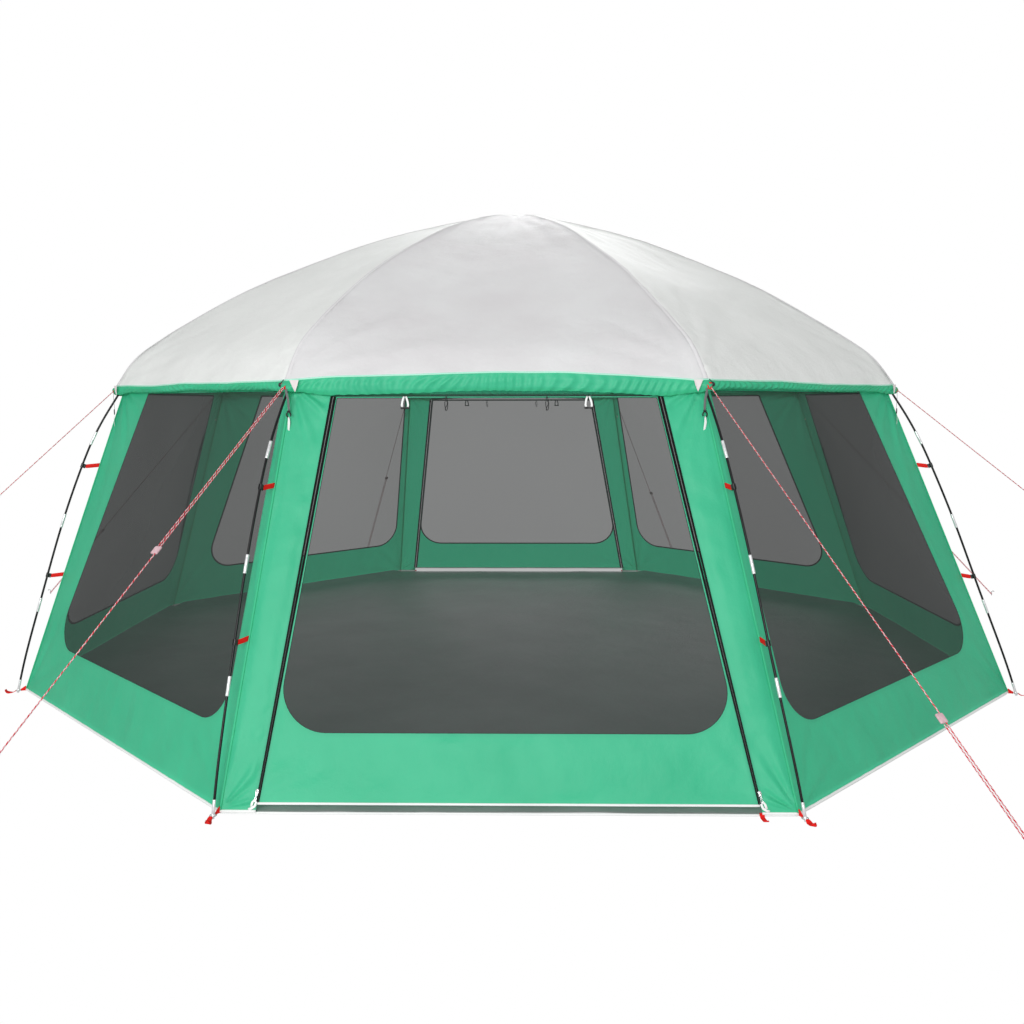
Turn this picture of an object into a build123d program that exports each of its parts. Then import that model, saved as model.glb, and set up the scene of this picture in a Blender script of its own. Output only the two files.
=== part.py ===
from build123d import *
import os
from math import sin, cos, tan, radians, degrees, sqrt, hypot, atan2, pi

# Octagonal dome screen house.
# Four shock-corded fibreglass arches cross over the centre and stand outside
# the walls; a roof of eight gores covers their tops, and eight inclined wall
# panels with mesh windows hang under it.  The front (-Y) and back (+Y) walls
# have a roll-up door between two zips.
# Millimetres, +Z up, origin on the ground at the centre, front faces -Y.

# ---------------------------------------------------------------- dimensions
FOOT_R = 3000.0          # pole feet, centre to corner
WALL_R0, WALL_Z0 = 2955.0, 20.0      # lower corner of the wall fabric
WALL_R1, WALL_Z1 = 2314.0, 1690.0    # upper corner of the wall fabric
WALL_LEAN = -60.0        # sideways shift of the eave: the tent is pitched a little to the left
WALL_T = 2.0             # fabric plate, thick enough to be a solid
MESH_T = 1.0
ROOF_T = 2.0
VALANCE_Z0, VALANCE_Z1 = 1651.0, 1697.0
VALANCE_R = 2351.0
FLOOR_R, FLOOR_T = 2930.0, 2.0

POLE_D = 11.0            # fibreglass pole
FERRULE_D, FERRULE_L = 14.0, 79.0
TIP_D, TIP_L = 13.0, 74.0
SECTION_FIRST, SECTION_PITCH, JOINTS_PER_LEG = 512.0, 494.0, 8
POLE_STACK = 13.0        # height step between the poles at their crossing

DOOR_U0, DOOR_V0 = 985.0, 25.0       # zip line at the ground
DOOR_U1, DOOR_V1 = 705.0, 1716.0     # zip line at the valance
ZIP_GAP = 1.5            # half of the gap between leaf and post
TAPE_W, TAPE_T = 14.0, 1.2
SILL_H = 296.0           # height of the solid band under each window
WINDOW_TOP = 1716.0
CORNER_R = 175.0         # rounded lower corner of a window

ROPE_D = 4.5
STRAND = 8.0             # half spacing of a doubled guy rope
GUY_START_R, GUY_START_Z = 2379.0, 1674.0
PEG_D, PEG_H = 6.0, 40.0

# outer surface of the roof at the gore seams: radius, height
ROOF = [(2353, 1700), (2316, 1762), (2262, 1836), (2142, 1938), (1917, 2084), (1607, 2264),
        (1246, 2430), (890, 2576), (500, 2696), (180, 2768), (0, 2782)]
# centre line of an arch, before the stack offset at the crossing
POLE = [(3000, 2), (2953, 166), (2901, 325), (2846, 485), (2793, 640), (2684, 955), (2570, 1245),
        (2494, 1415), (2412, 1562), (2333, 1688), (2295, 1751), (2243, 1820), (2128, 1917),
        (1905, 2062), (1596, 2242), (1237, 2409), (883, 2556), (496, 2678), (178, 2752), (0, 2766)]
# sideways shift of the arches and the roof with height
LEAN_Z = [0, 485, 640, 955, 1245, 1415, 1690, 1940, 2084, 2264, 2430, 2576, 2696, 2768, 2790]
LEAN_X = [0, -25, -32, -44, -53, -57, -60, -68, -70, -64, -54, -40, -25, -15, -12]

CORNERS = [-22.5, 22.5, 67.5, 112.5, 157.5, -157.5, -112.5, -67.5]
CORNER_NAMES = ["front_left", "front_right", "right_front", "right_back",
                "back_right", "back_left", "left_back", "left_front"]
PEG_R = {"front_left": 4640.0, "front_right": 4390.0, "right_front": 4350.0, "right_back": 4300.0,
         "back_right": 4350.0, "back_left": 4350.0, "left_back": 4300.0, "left_front": 4195.0}
# distance of each runner from the upper end of its rope, as a share of the rope
RUNNER_AT = {"front_left": 0.355, "front_right": 0.635, "right_front": 0.70, "right_back": 0.66,
             "back_right": 0.58, "back_left": 0.48, "left_back": 0.66, "left_front": 0.70}

os.makedirs("parts", exist_ok=True)
nodes = {}


def put(name, solids):
    """Collect the solids of one sub-part."""
    nodes.setdefault(name, []).extend(solids if isinstance(solids, (list, tuple)) else [solids])


def spline(xs, ys, x):
    """Natural cubic interpolation."""
    n = len(xs)
    a, b, c, d = [0.0] * n, [1.0] * n, [0.0] * n, [0.0] * n
    for i in range(1, n - 1):
        h0, h1 = xs[i] - xs[i - 1], xs[i + 1] - xs[i]
        a[i], b[i], c[i] = h0, 2 * (h0 + h1), h1
        d[i] = 6 * ((ys[i + 1] - ys[i]) / h1 - (ys[i] - ys[i - 1]) / h0)
    for i in range(1, n):
        m = a[i] / b[i - 1]
        b[i] -= m * c[i - 1]
        d[i] -= m * d[i - 1]
    m2 = [0.0] * n
    m2[-1] = d[-1] / b[-1]
    for i in range(n - 2, -1, -1):
        m2[i] = (d[i] - c[i] * m2[i + 1]) / b[i]
    k = 0
    while k < n - 2 and x > xs[k + 1]:
        k += 1
    h = xs[k + 1] - xs[k]
    p, q = (xs[k + 1] - x) / h, (x - xs[k]) / h
    return p * ys[k] + q * ys[k + 1] + ((p ** 3 - p) * m2[k] + (q ** 3 - q) * m2[k + 1]) * h * h / 6


def lean(z):
    return spline(LEAN_Z, LEAN_X, z)


def at(angle, r, z, t=0.0, shift=None):
    """A point at a compass angle from the front, at radius r, with tangential offset t."""
    a = radians(angle)
    x = lean(z) if shift is None else shift
    return Vector(r * sin(a) + t * cos(a) + x, -r * cos(a) + t * sin(a), z)


def hexa(p, split=False):
    """Closed solid with six faces: p[0:4] one face in order, p[4:8] the opposite one.
    split halves two of the side faces, for corners that are not quite in one plane."""
    quads = [(0, 1, 2, 3), (7, 6, 5, 4), (0, 4, 5, 1), (2, 6, 7, 3)]
    quads += [(1, 5, 6), (1, 6, 2), (3, 7, 4), (3, 4, 0)] if split else [(1, 5, 6, 2), (3, 7, 4, 0)]
    faces = [Face(Wire.make_polygon([p[i] for i in q], close=True)) for q in quads]
    s = Solid(Shell(faces))
    return s if s.volume > 0 else Solid(Shell([-f for f in faces]))


def block(origin, ex, ey, ez, x0, x1, y0, y1, z0, z1):
    """Box between limits along three given unit vectors."""
    def pt(x, y, z):
        return origin + ex * x + ey * y + ez * z
    return hexa([pt(x0, y0, z0), pt(x1, y0, z0), pt(x1, y1, z0), pt(x0, y1, z0),
                 pt(x0, y0, z1), pt(x1, y0, z1), pt(x1, y1, z1), pt(x0, y1, z1)])


def local(angle):
    """Outward, tangential and upward unit vectors at a compass angle."""
    a = radians(angle)
    return Vector(sin(a), -cos(a), 0), Vector(cos(a), sin(a), 0), Vector(0, 0, 1)


# ------------------------------------------------------------ wall plane frame
C8 = cos(radians(22.5))
S8 = sin(radians(22.5))
SLOPE_L = hypot((WALL_R0 - WALL_R1) * C8, WALL_Z1 - WALL_Z0)


def wall_lean(angle):
    """Outward and sideways parts of the lean at the top of a wall."""
    a = radians(angle)
    return WALL_LEAN * sin(a), WALL_LEAN * cos(a)


def wall_plane(angle):
    """Plane on a wall: x to the right seen from outside, y up the slope, z outward."""
    o, t, up = local(angle)
    out, _ = wall_lean(angle)
    b = o * (WALL_R0 * C8 + out * WALL_Z0 / WALL_Z1) + up * WALL_Z0
    e = o * (WALL_R1 * C8 + out) + up * WALL_Z1
    v = (e - b).normalized()
    return Plane(origin=b, x_dir=t, z_dir=t.cross(v))


def skew(angle, points):
    """Carry points of the upright wall onto the wall at this angle, which leans."""
    out, side = wall_lean(angle)
    k = hypot((WALL_R0 - WALL_R1) * C8 - out * (1 - WALL_Z0 / WALL_Z1), WALL_Z1 - WALL_Z0) / SLOPE_L
    return [(u + side * (WALL_Z0 + v / SLOPE_L * (WALL_Z1 - WALL_Z0)) / WALL_Z1, v * k) for u, v in points]


def outline(angle, points, radii):
    """Flat face bounded by straight sides with rounded corners, in XY."""
    points = skew(angle, points)
    n = len(points)
    P = [Vector(*q, 0) for q in points]
    ends, edges = [], []
    for i in range(n):
        a, b, c = P[i - 1], P[i], P[(i + 1) % n]
        r = radii[i]
        u, w = (a - b).normalized(), (c - b).normalized()
        if r <= 0:
            ends.append((b, b, None))
            continue
        half = radians(u.get_angle(w)) / 2
        d = r / tan(half)
        m = (u + w).normalized()
        centre = b + m * (r / sin(half))
        ends.append((b + u * d, b + w * d, centre - m * r))
    for i in range(n):
        s, e, mid = ends[i]
        if mid is not None:
            edges.append(Edge.make_three_point_arc(s, mid, e))
        nxt = ends[(i + 1) % n][0]
        if (nxt - e).length > 1e-6:
            edges.append(Edge.make_line(e, nxt))
    return Face(Wire(edges))


def plate(angle, face, n0, n1):
    """A flat face of a wall plane, made into a plate between two offsets."""
    pl = wall_plane(angle)
    s = Solid.extrude(face, Vector(0, 0, n1 - n0))
    return pl.from_local_coords(s.moved(Location((0, 0, n0))))


def cut_plate(angle, outer, hole, n0, n1):
    f = Face(outer.outer_wire(), [hole.outer_wire()])
    return plate(angle, f, n0, n1)


def lerp(a, b, k):
    return a + (b - a) * k


def zip_u(v):
    return lerp(DOOR_U0, DOOR_U1, (v - DOOR_V0) / (DOOR_V1 - DOOR_V0))


def edge_u(v):
    return lerp(WALL_R0, WALL_R1, v / SLOPE_L) * S8


# ------------------------------------------------------------------ arch poles
full = POLE + [(-r, z) for r, z in reversed(POLE[:-1])]
stations = [0.0]
for p0, p1 in zip(full, full[1:]):
    stations.append(stations[-1] + hypot(p1[0] - p0[0], p1[1] - p0[1]))
ARCH_L = stations[-1]


def arch_point(angle, s, drop):
    r = spline(stations, [p[0] for p in full], s)
    z = spline(stations, [p[1] for p in full], s)
    return at(angle, r, z + drop * max(0.0, 1 - abs(r) / 2333.0))


def arch_dir(angle, s, drop):
    return (arch_point(angle, s + 2, drop) - arch_point(angle, s - 2, drop)).normalized()


def rod(p0, p1, d):
    axis = p1 - p0
    return Solid.make_cylinder(d / 2, axis.length, Plane(origin=p0, z_dir=axis.normalized()))


for k in range(4):
    angle = CORNERS[k] + 180            # s runs from the corner opposite to the named one
    drop = -47.0 + POLE_STACK * k
    joints = [SECTION_FIRST + SECTION_PITCH * i for i in range(JOINTS_PER_LEG)]
    cuts = [TIP_L] + joints + [ARCH_L - j for j in reversed(joints)] + [ARCH_L - TIP_L]
    for s0, s1 in zip(cuts, cuts[1:]):
        a, m, b = (arch_point(angle, s, drop) for s in (s0, (s0 + s1) / 2, s1))
        path = Edge.make_three_point_arc(a, m, b)
        prof = Plane(origin=a, z_dir=path % 0) * Circle(POLE_D / 2)
        put(f"arch_pole_{k + 1}", sweep(prof, path=path).solids()[0])
    for s in cuts[1:-1]:
        c, d = arch_point(angle, s, drop), arch_dir(angle, s, drop)
        pl = Plane(origin=c - d * (FERRULE_L / 2), z_dir=d)
        outer = Solid.make_cylinder(FERRULE_D / 2, FERRULE_L, pl)
        bore = Solid.make_cylinder(POLE_D / 2 + 0.1, FERRULE_L + 2, Plane(origin=c - d * (FERRULE_L / 2 + 1), z_dir=d))
        put("pole_ferrules", (outer - bore).solids()[0])
    for s, e in ((TIP_L, 0.0), (ARCH_L - TIP_L, ARCH_L)):
        top, foot = arch_point(angle, s, drop), arch_point(angle, e, drop)
        d = (top - foot).normalized()
        put("pole_tips", rod(foot, top, TIP_D))

# ------------------------------------------------------------------------ roof
def inward(i):
    """Point of the roof's inner surface below ring i, at the same seam."""
    r, z = ROOF[i]
    a = ROOF[max(i - 1, 0)]
    b = ROOF[min(i + 1, len(ROOF) - 1)]
    dr, dz = b[0] - a[0], b[1] - a[1]
    ln = hypot(dr, dz)
    nr, nz = -dz / ln, dr / ln
    if r == 0:
        return 0.0, z - ROOF_T
    return r + nr * ROOF_T, z + nz * ROOF_T


for k in range(8):
    a0 = CORNERS[k]
    a1 = a0 + 45
    for i in range(len(ROOF) - 2):
        (r0, z0), (r1, z1) = ROOF[i], ROOF[i + 1]
        (q0, w0), (q1, w1) = inward(i), inward(i + 1)
        s0, s1 = lean(z0), lean(z1)
        put("roof_canopy", hexa([at(a0, r0, z0, 0, s0), at(a1, r0, z0, 0, s0), at(a1, r1, z1, 0, s1), at(a0, r1, z1, 0, s1),
                                 at(a0, q0, w0, 0, s0), at(a1, q0, w0, 0, s0), at(a1, q1, w1, 0, s1), at(a0, q1, w1, 0, s1)], True))
# the crown closes the last ring
(r1, z1), (q1, w1) = ROOF[-2], inward(len(ROOF) - 2)
s1 = lean(z1)
crown_top = [at(c, r1, z1, 0, s1) for c in CORNERS]
crown_low = [at(c, q1, w1, 0, s1) for c in CORNERS]
apex, under = Vector(lean(ROOF[-1][1]), 0, ROOF[-1][1]), Vector(lean(ROOF[-1][1]), 0, ROOF[-1][1] - ROOF_T)
tri = lambda *p: Face(Wire.make_polygon(list(p), close=True))
faces = []
for i in range(8):
    j = (i + 1) % 8
    faces += [tri(crown_top[i], crown_top[j], apex), tri(crown_low[j], crown_low[i], under),
              tri(crown_top[j], crown_top[i], crown_low[i], crown_low[j])]
crown = Solid(Shell(faces))
put("roof_canopy", crown if crown.volume > 0 else Solid(Shell([-f for f in faces])))

# valance: gathered strip under the roof hem, open round each pole
for k in range(8):
    mid = CORNERS[k] + 22.5
    o, t, up = local(mid)
    w = VALANCE_R * S8 - 30
    put("valance", block(Vector(WALL_LEAN, 0, 0), o, t, up, VALANCE_R * C8 - 1.5, VALANCE_R * C8, -w, w, VALANCE_Z0, VALANCE_Z1))

# ----------------------------------------------------------------------- walls
T2 = WALL_T / 2
M2 = MESH_T / 2
FIXED = {"front_left": (-45, 1), "left": (-90, 0), "back_left": (-135, -1),
         "back_right": (135, 1), "right": (90, 0), "front_right": (45, -1)}


def window(ang, kind, inset):
    """Corners of a window: kind 1 has its narrow margin on the right, -1 on the left, 0 on neither."""
    b0, b1 = edge_u(SILL_H), edge_u(WINDOW_TOP)
    if kind == 0:
        lo, hi = (b0 - 200, b0 - 200), (b1 - 210, b1 - 210)
    else:
        lo, hi = (b0 - 195, b0 - 85), (b1 - 330, b1 - 55)
        if kind < 0:
            lo, hi = lo[::-1], hi[::-1]
    i = inset
    return outline(ang, [(-lo[0] + i, SILL_H + i), (lo[1] - i, SILL_H + i), (hi[1] - i, WINDOW_TOP - i), (-hi[0] + i, WINDOW_TOP - i)],
                   [CORNER_R - i, CORNER_R - i, 40 - i, 40 - i])


trap = [(-edge_u(0) + 3, 0), (edge_u(0) - 3, 0), (edge_u(SLOPE_L) - 3, SLOPE_L), (-edge_u(SLOPE_L) + 3, SLOPE_L)]
for name, (ang, kind) in FIXED.items():
    put(f"wall_{name}", cut_plate(ang, outline(ang, trap, [0] * 4), window(ang, kind, 0), -T2, T2))
    put("window_meshes", plate(ang, window(ang, kind, 0.4), -M2, M2))
    put("hem_bindings", plate(ang, outline(ang, [(-edge_u(0) + 3, -8), (edge_u(0) - 3, -8), (edge_u(0) - 3, -0.2), (-edge_u(0) + 3, -0.2)], [0] * 4), -2, 2))

DOORS = {"front": 0, "back": 180}
TOP = DOOR_V1
for name, ang in DOORS.items():
    g = ZIP_GAP
    # fixed posts beside the zips, and the header behind the valance
    for s in (-1, 1):
        put(f"wall_{name}", plate(ang, outline(ang, [(s * (zip_u(0) + g), 0), (s * (edge_u(0) - 3), 0), (s * (edge_u(TOP) - 3), TOP), (s * (zip_u(TOP) + g), TOP)], [0] * 4), -T2, T2))
        put("hem_bindings", plate(ang, outline(ang, [(s * (zip_u(0) + g), -8), (s * (edge_u(0) - 3), -8), (s * (edge_u(0) - 3), -0.2), (s * (zip_u(0) + g), -0.2)], [0] * 4), -2, 2))
        put("zip_tapes_fixed", plate(ang, outline(ang, [(s * (zip_u(30) + g), 30), (s * (zip_u(30) + g + TAPE_W), 30), (s * (zip_u(TOP) + g + TAPE_W), TOP), (s * (zip_u(TOP) + g), TOP)], [0] * 4), T2, T2 + TAPE_T))
        put(f"{name}_door_zip_tapes", plate(ang, outline(ang, [(s * (zip_u(30) - g - TAPE_W), 30), (s * (zip_u(30) - g), 30), (s * (zip_u(TOP - 4) - g), TOP - 4), (s * (zip_u(TOP - 4) - g - TAPE_W), TOP - 4)], [0] * 4), T2, T2 + TAPE_T))
    put(f"wall_{name}", plate(ang, outline(ang, [(-edge_u(TOP) + 3, TOP), (edge_u(TOP) - 3, TOP), (edge_u(SLOPE_L) - 3, SLOPE_L), (-edge_u(SLOPE_L) + 3, SLOPE_L)], [0] * 4), -T2, T2))
    # door leaf: sewn border with the deep lower band, and its mesh
    b, h = DOOR_V0, TOP - 3
    leaf = outline(ang, [(-(zip_u(b) - g), b), (zip_u(b) - g, b), (zip_u(h) - g, h), (-(zip_u(h) - g), h)], [0] * 4)
    e, w1 = TAPE_W, TOP - 20
    hole = outline(ang, [(-(zip_u(SILL_H) - g - e), SILL_H), (zip_u(SILL_H) - g - e, SILL_H), (zip_u(w1) - g - e, w1), (-(zip_u(w1) - g - e), w1)], [CORNER_R, CORNER_R, 5, 5])
    net = outline(ang, [(-(zip_u(SILL_H + .4) - g - e - .4), SILL_H + .4), (zip_u(SILL_H + .4) - g - e - .4, SILL_H + .4), (zip_u(w1 - .4) - g - e - .4, w1 - .4), (-(zip_u(w1 - .4) - g - e - .4), w1 - .4)], [CORNER_R - .4, CORNER_R - .4, 4.6, 4.6])
    put(f"{name}_door", cut_plate(ang, leaf, hole, -T2, T2))
    put(f"{name}_door_mesh", plate(ang, net, -M2, M2))
    put(f"{name}_door", plate(ang, outline(ang, [(-(zip_u(b) - g), b - 8), (zip_u(b) - g, b - 8), (zip_u(b) - g, b - .2), (-(zip_u(b) - g), b - .2)], [0] * 4), -2, 2))
    # ties that hold the rolled leaf: two webbing loops with a toggle, two elastic loops
    pl = wall_plane(ang)
    ex, ey, ez = pl.x_dir, pl.z_dir.cross(pl.x_dir), pl.z_dir
    for u in (-395, 395):
        o = pl.origin + ex * (skew(ang, [(u, TOP - 30)])[0][0])
        put(f"{name}_door_ties", block(o, ex, ey, ez, -17, -7, TOP - 50, TOP - 6, 4, 6))
        put(f"{name}_door_ties", block(o, ex, ey, ez, 7, 17, TOP - 50, TOP - 6, 4, 6))
        put(f"{name}_door_ties", block(o, ex, ey, ez, -17, 17, TOP - 6, TOP - 3.5, 4, 6))
        c = o + ey * (TOP - 56) + ez * 5
        put(f"{name}_door_toggles", rod(c - ex * 19, c + ex * 19, 9.0))
    for u in (-217, 217):
        o = pl.origin + ex * (skew(ang, [(u, TOP - 30)])[0][0])
        put(f"{name}_door_toggles", block(o, ex, ey, ez, -8, -5, TOP - 66, TOP - 6, 4, 7))
        put(f"{name}_door_toggles", block(o, ex, ey, ez, 5, 8, TOP - 66, TOP - 6, 4, 7))
        put(f"{name}_door_toggles", block(o, ex, ey, ez, -8, 8, TOP - 69, TOP - 66, 4, 7))
    # zip sliders and their pull tabs, at the closed end by the ground
    for side, s in (("left", -1), ("right", 1)):
        (u0, v0), (u1, v1), (u7, v7) = skew(ang, [(s * DOOR_U0, DOOR_V0), (s * DOOR_U1, DOOR_V1), (s * zip_u(70), 70)])
        d = (Vector(u1, v1, 0) - Vector(u0, v0, 0)).normalized()
        ez2 = pl.z_dir
        along = (ex * d.X + ey * d.Y).normalized()
        across = along.cross(ez2) * s
        o = pl.origin + ex * u7 + ey * v7 + across * (g + 0.5)
        zn = T2 + TAPE_T + 0.4
        body = block(o, across, along, ez2, 0, 12, -10, 10, zn, zn + 3.4)
        lug1 = block(o, across, along, ez2, 0, 2, -2.6, 2.6, zn + 3.4, zn + 8.6)
        lug2 = block(o, across, along, ez2, 10, 12, -2.6, 2.6, zn + 3.4, zn + 8.6)
        pin_c = o + ez2 * (zn + 6.2)
        pin = rod(pin_c + across * 1.0, pin_c + across * 11.0, 2.2)
        sl = body.fuse(lug1, lug2, pin)
        put(f"{name}_zip_slider_{side}", sl.solids() if hasattr(sl, "solids") else sl)
        barrel = rod(pin_c + across * 2.4, pin_c + across * 9.6, 4.6)
        tab = block(pin_c, across, along, ez2, 2.4, 9.6, -40, 0, -0.8, 0.8)
        bore = rod(pin_c + across * 0.5, pin_c + across * 11.5, 2.4)
        pull = barrel.fuse(tab).cut(bore)
        put(f"{name}_zip_pull_{side}", pull.solids() if hasattr(pull, "solids") else pull)
        a3 = [round(c, 6) for c in (along.X, along.Y, along.Z)]
        x3 = [round(c, 6) for c in (across.X, across.Y, across.Z)]
        print("slider", name, side, "along", a3, "pin", [round(c / 1000, 6) for c in (pin_c.X, pin_c.Y, pin_c.Z)], "pin axis", x3)
    hinge = pl.origin + ey * (TOP - 1.5)
    print("door hinge", name, [round(c / 1000, 6) for c in (hinge.X, hinge.Y, hinge.Z)], "axis", [round(c, 6) for c in (ex.X, ex.Y, ex.Z)])

# ----------------------------------------------------------------------- floor
floor_pts = [at(c, FLOOR_R, 0) for c in CORNERS]
put("floor", Solid.extrude(Face(Wire.make_polygon(floor_pts, close=True)), Vector(0, 0, FLOOR_T)))

# ------------------------------------------------------- corner hardware, cords
def wall_r(z):
    return lerp(WALL_R0, WALL_R1, (z - WALL_Z0) / (WALL_Z1 - WALL_Z0))


def pole_s(z):
    """Distance along an arch at which a leg reaches height z."""
    lo, hi = 0.0, 2200.0
    for _ in range(60):
        m = (lo + hi) / 2
        if spline(stations, [p[1] for p in full], m) < z:
            lo = m
        else:
            hi = m
    return lo


for k, (ang, name) in enumerate(zip(CORNERS, CORNER_NAMES)):
    o, t, up = local(ang)
    side = 1 if ang < 0 else -1         # the two halves mirror each other
    zero = lambda z: Vector(lean(z), 0, 0)
    pr = lambda z: spline(stations, [p[0] for p in full], pole_s(z))
    # two clips per leg with their straps to the wall seam
    for z in (655.0, 1263.0):
        s = pole_s(z)
        c, d = arch_point(ang, s, 0), arch_dir(ang, s, 0)
        sleeve = Solid.make_cylinder(9.0, 24.0, Plane(origin=c - d * 12, z_dir=d))
        bore = Solid.make_cylinder(POLE_D / 2 + 1.0, 28.0, Plane(origin=c - d * 14, z_dir=d))
        gap = block(c, o, t, up, 0, 14, -3.6, 3.6, -20, 20)
        put("pole_clips", (sleeve - bore - gap).solids()[0])
        put("corner_webbing", block(zero(z), o, t, up, wall_r(z) + 17, pr(z) - 14, -1, 1, z - 11, z + 11))
    # foot: webbing from the wall corner, ring round the tip, pegging loop beyond it
    put("corner_webbing", block(zero(24), o, t, up, wall_r(24) + 4, 2976, -1.2, 1.2, 10, 36))
    put("corner_webbing", block(zero(0), o, t, up, 3016, 3066, -12, 12, 0.2, 2.6))
    ring_c = at(ang, 2995, 15)
    put("foot_rings", Solid.make_torus(12.5, 1.8, Plane(origin=ring_c, z_dir=up)))
    # eave: reinforcement patch, webbing with the guy loop, hanging tape, black ball and open hook
    put("corner_webbing", block(zero(1674), o, t, up, 2355, 2382, -10, 10, 1671, 1677))
    put("corner_webbing", block(zero(1610), o, t, up, 2377, 2379, 22 * side - 6, 22 * side + 6, 1574, 1646))
    put("eave_hooks", Solid.make_sphere(10.5, Plane(origin=at(ang, 2361, 1686, -26 * side))))
    hk = at(ang, 2378, 1558, 22 * side)
    ring = Solid.make_cylinder(13, 6, Plane(origin=hk - o * 3, z_dir=o)) - Solid.make_cylinder(8.5, 8, Plane(origin=hk - o * 4, z_dir=o))
    ring = ring - block(hk, o, t, up, -5, 5, -16, 0, -8, 8)
    put("eave_hooks", ring.solids()[0])
    e = edge_u(SLOPE_L - 60)
    mid, f = ang + 22.5 * side, -side
    put("corner_patches", plate(mid, outline(mid, [(f * (e - 8), SLOPE_L - 62), (f * (edge_u(SLOPE_L) - 55), SLOPE_L - 4), (f * (edge_u(SLOPE_L) - 8), SLOPE_L - 4)], [0] * 3), T2 + 0.2, T2 + 1.0))

for ang in DOORS.values():
    o, t, up = local(ang)
    for s in (-1, 1):
        put("corner_webbing", block(Vector(0, 0, 0), o, t, up, 2740, 2786, s * zip_u(0) - 10, s * zip_u(0) + 10, 0.2, 2.6))

PEG_TOPS = {}
for ang, name in zip(CORNERS, CORNER_NAMES):
    o, t, up = local(ang)
    r_peg = PEG_R[name]
    a = at(ang, GUY_START_R, GUY_START_Z)
    z_end = 12.0
    tip = at(ang, r_peg, z_end)
    d = (tip - a).normalized()
    t = (t - d * t.dot(d)).normalized()
    L = (tip - a).length
    frac = RUNNER_AT[name]
    s_run = L * frac
    pt = lambda s, w: a + d * s + t * w
    if name == "front_left":
        # tied at the runner, up to the eave loop and back down to the peg
        way = [pt(s_run - 22, -STRAND), pt(-1, -STRAND), pt(-1, STRAND), pt(L + STRAND, STRAND), pt(L + STRAND, -STRAND), pt(L - 60, -STRAND)]
    else:
        # down from the eave loop, round the peg and back up to the runner
        way = [pt(-3, STRAND), pt(L + STRAND, STRAND), pt(L + STRAND, -STRAND), pt(s_run + 22, -STRAND)]
    radii = [STRAND - 0.05] * (len(way) - 2)
    line = FilletPolyline(*way, radius=STRAND - 0.05)
    prof = Plane(origin=line @ 0, z_dir=line % 0) * Circle(ROPE_D / 2)
    tube = sweep(prof, path=line).solids()[0]
    put(f"guy_rope_{name}", tube)
    print("rope", name, "length", round(line.length, 1), "volume ratio", round(tube.volume / (pi * ROPE_D ** 2 / 4 * line.length), 4),
          "dir", [round(c, 6) for c in (d.X, d.Y, d.Z)], "radii", [round(r, 2) for r in radii],
          "points", [[round(c / 1000, 5) for c in (p.X, p.Y, p.Z)] for p in way])
    # runner: flat bar with a hole for each strand
    n = d.cross(t)
    c = pt(s_run, 0)
    bar = block(c, d, t, n, -17, 17, -15, 15, -4.5, 4.5)
    for w in (-STRAND, STRAND):
        bar = bar - rod(pt(s_run - 25, w), pt(s_run + 25, w), ROPE_D + 1.0)
    put(f"guy_runner_{name}", bar.solids()[0])
    # steel peg, shown above ground only, with its hooked top turned outward
    foot = at(ang, r_peg, 0)
    stem = Solid.make_cylinder(PEG_D / 2, PEG_H, Plane(origin=foot, z_dir=up))
    top = rod(foot + up * (PEG_H - 4.0), foot + up * (PEG_H - 4.0) + o * 26, PEG_D - 1.0)
    put("guy_pegs", stem.fuse(top).solids()[0])

for name, solids in nodes.items():
    shape = solids[0] if len(solids) == 1 else Compound(solids)
    export_step(shape, f"parts/{name}.step")
print(len(nodes), "nodes; arch length", round(ARCH_L))
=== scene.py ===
import math
from math import sin, cos, radians, pi, hypot, exp, sqrt
import bmesh
import bpy
from mathutils import Vector, Matrix, noise


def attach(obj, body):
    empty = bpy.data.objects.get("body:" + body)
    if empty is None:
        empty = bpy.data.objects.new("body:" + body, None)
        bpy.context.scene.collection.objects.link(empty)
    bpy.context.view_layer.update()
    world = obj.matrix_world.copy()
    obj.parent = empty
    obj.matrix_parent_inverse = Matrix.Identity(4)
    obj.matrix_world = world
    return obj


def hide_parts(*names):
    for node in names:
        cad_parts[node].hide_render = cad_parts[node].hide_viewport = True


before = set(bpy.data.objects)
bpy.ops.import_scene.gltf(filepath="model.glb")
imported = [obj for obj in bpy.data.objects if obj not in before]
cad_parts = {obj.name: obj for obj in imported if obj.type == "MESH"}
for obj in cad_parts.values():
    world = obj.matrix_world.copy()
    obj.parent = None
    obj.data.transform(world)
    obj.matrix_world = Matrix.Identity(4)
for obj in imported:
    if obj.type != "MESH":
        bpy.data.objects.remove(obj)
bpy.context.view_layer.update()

ROOT = "frame_and_shell"

# ------------------------------------------------------------------ dimensions
WALL_R0, WALL_Z0, WALL_R1, WALL_Z1 = 2.955, 0.020, 2.314, 1.690
WALL_LEAN = -0.060
C8, S8 = cos(radians(22.5)), sin(radians(22.5))
SLOPE = hypot((WALL_R0 - WALL_R1) * C8, WALL_Z1 - WALL_Z0)
DOOR_U0, DOOR_V0, DOOR_U1, DOOR_V1 = 0.985, 0.025, 0.705, 1.716
GAP, TAPE = 0.0015, 0.014
SILL, WIN_TOP, WIN_R = 0.296, 1.740, 0.175
ROOF = [(2.353, 1.708), (2.316, 1.765), (2.262, 1.838), (2.142, 1.939), (1.917, 2.085), (1.607, 2.265),
        (1.246, 2.431), (0.890, 2.577), (0.500, 2.697), (0.180, 2.769), (0.0, 2.782)]
POLE = [(3000, 2), (2953, 166), (2901, 325), (2846, 485), (2793, 640), (2684, 955), (2570, 1245),
        (2494, 1415), (2412, 1562), (2333, 1688), (2295, 1751), (2243, 1820), (2128, 1917),
        (1905, 2062), (1596, 2242), (1237, 2409), (883, 2556), (496, 2678), (178, 2752), (0, 2766)]
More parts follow.
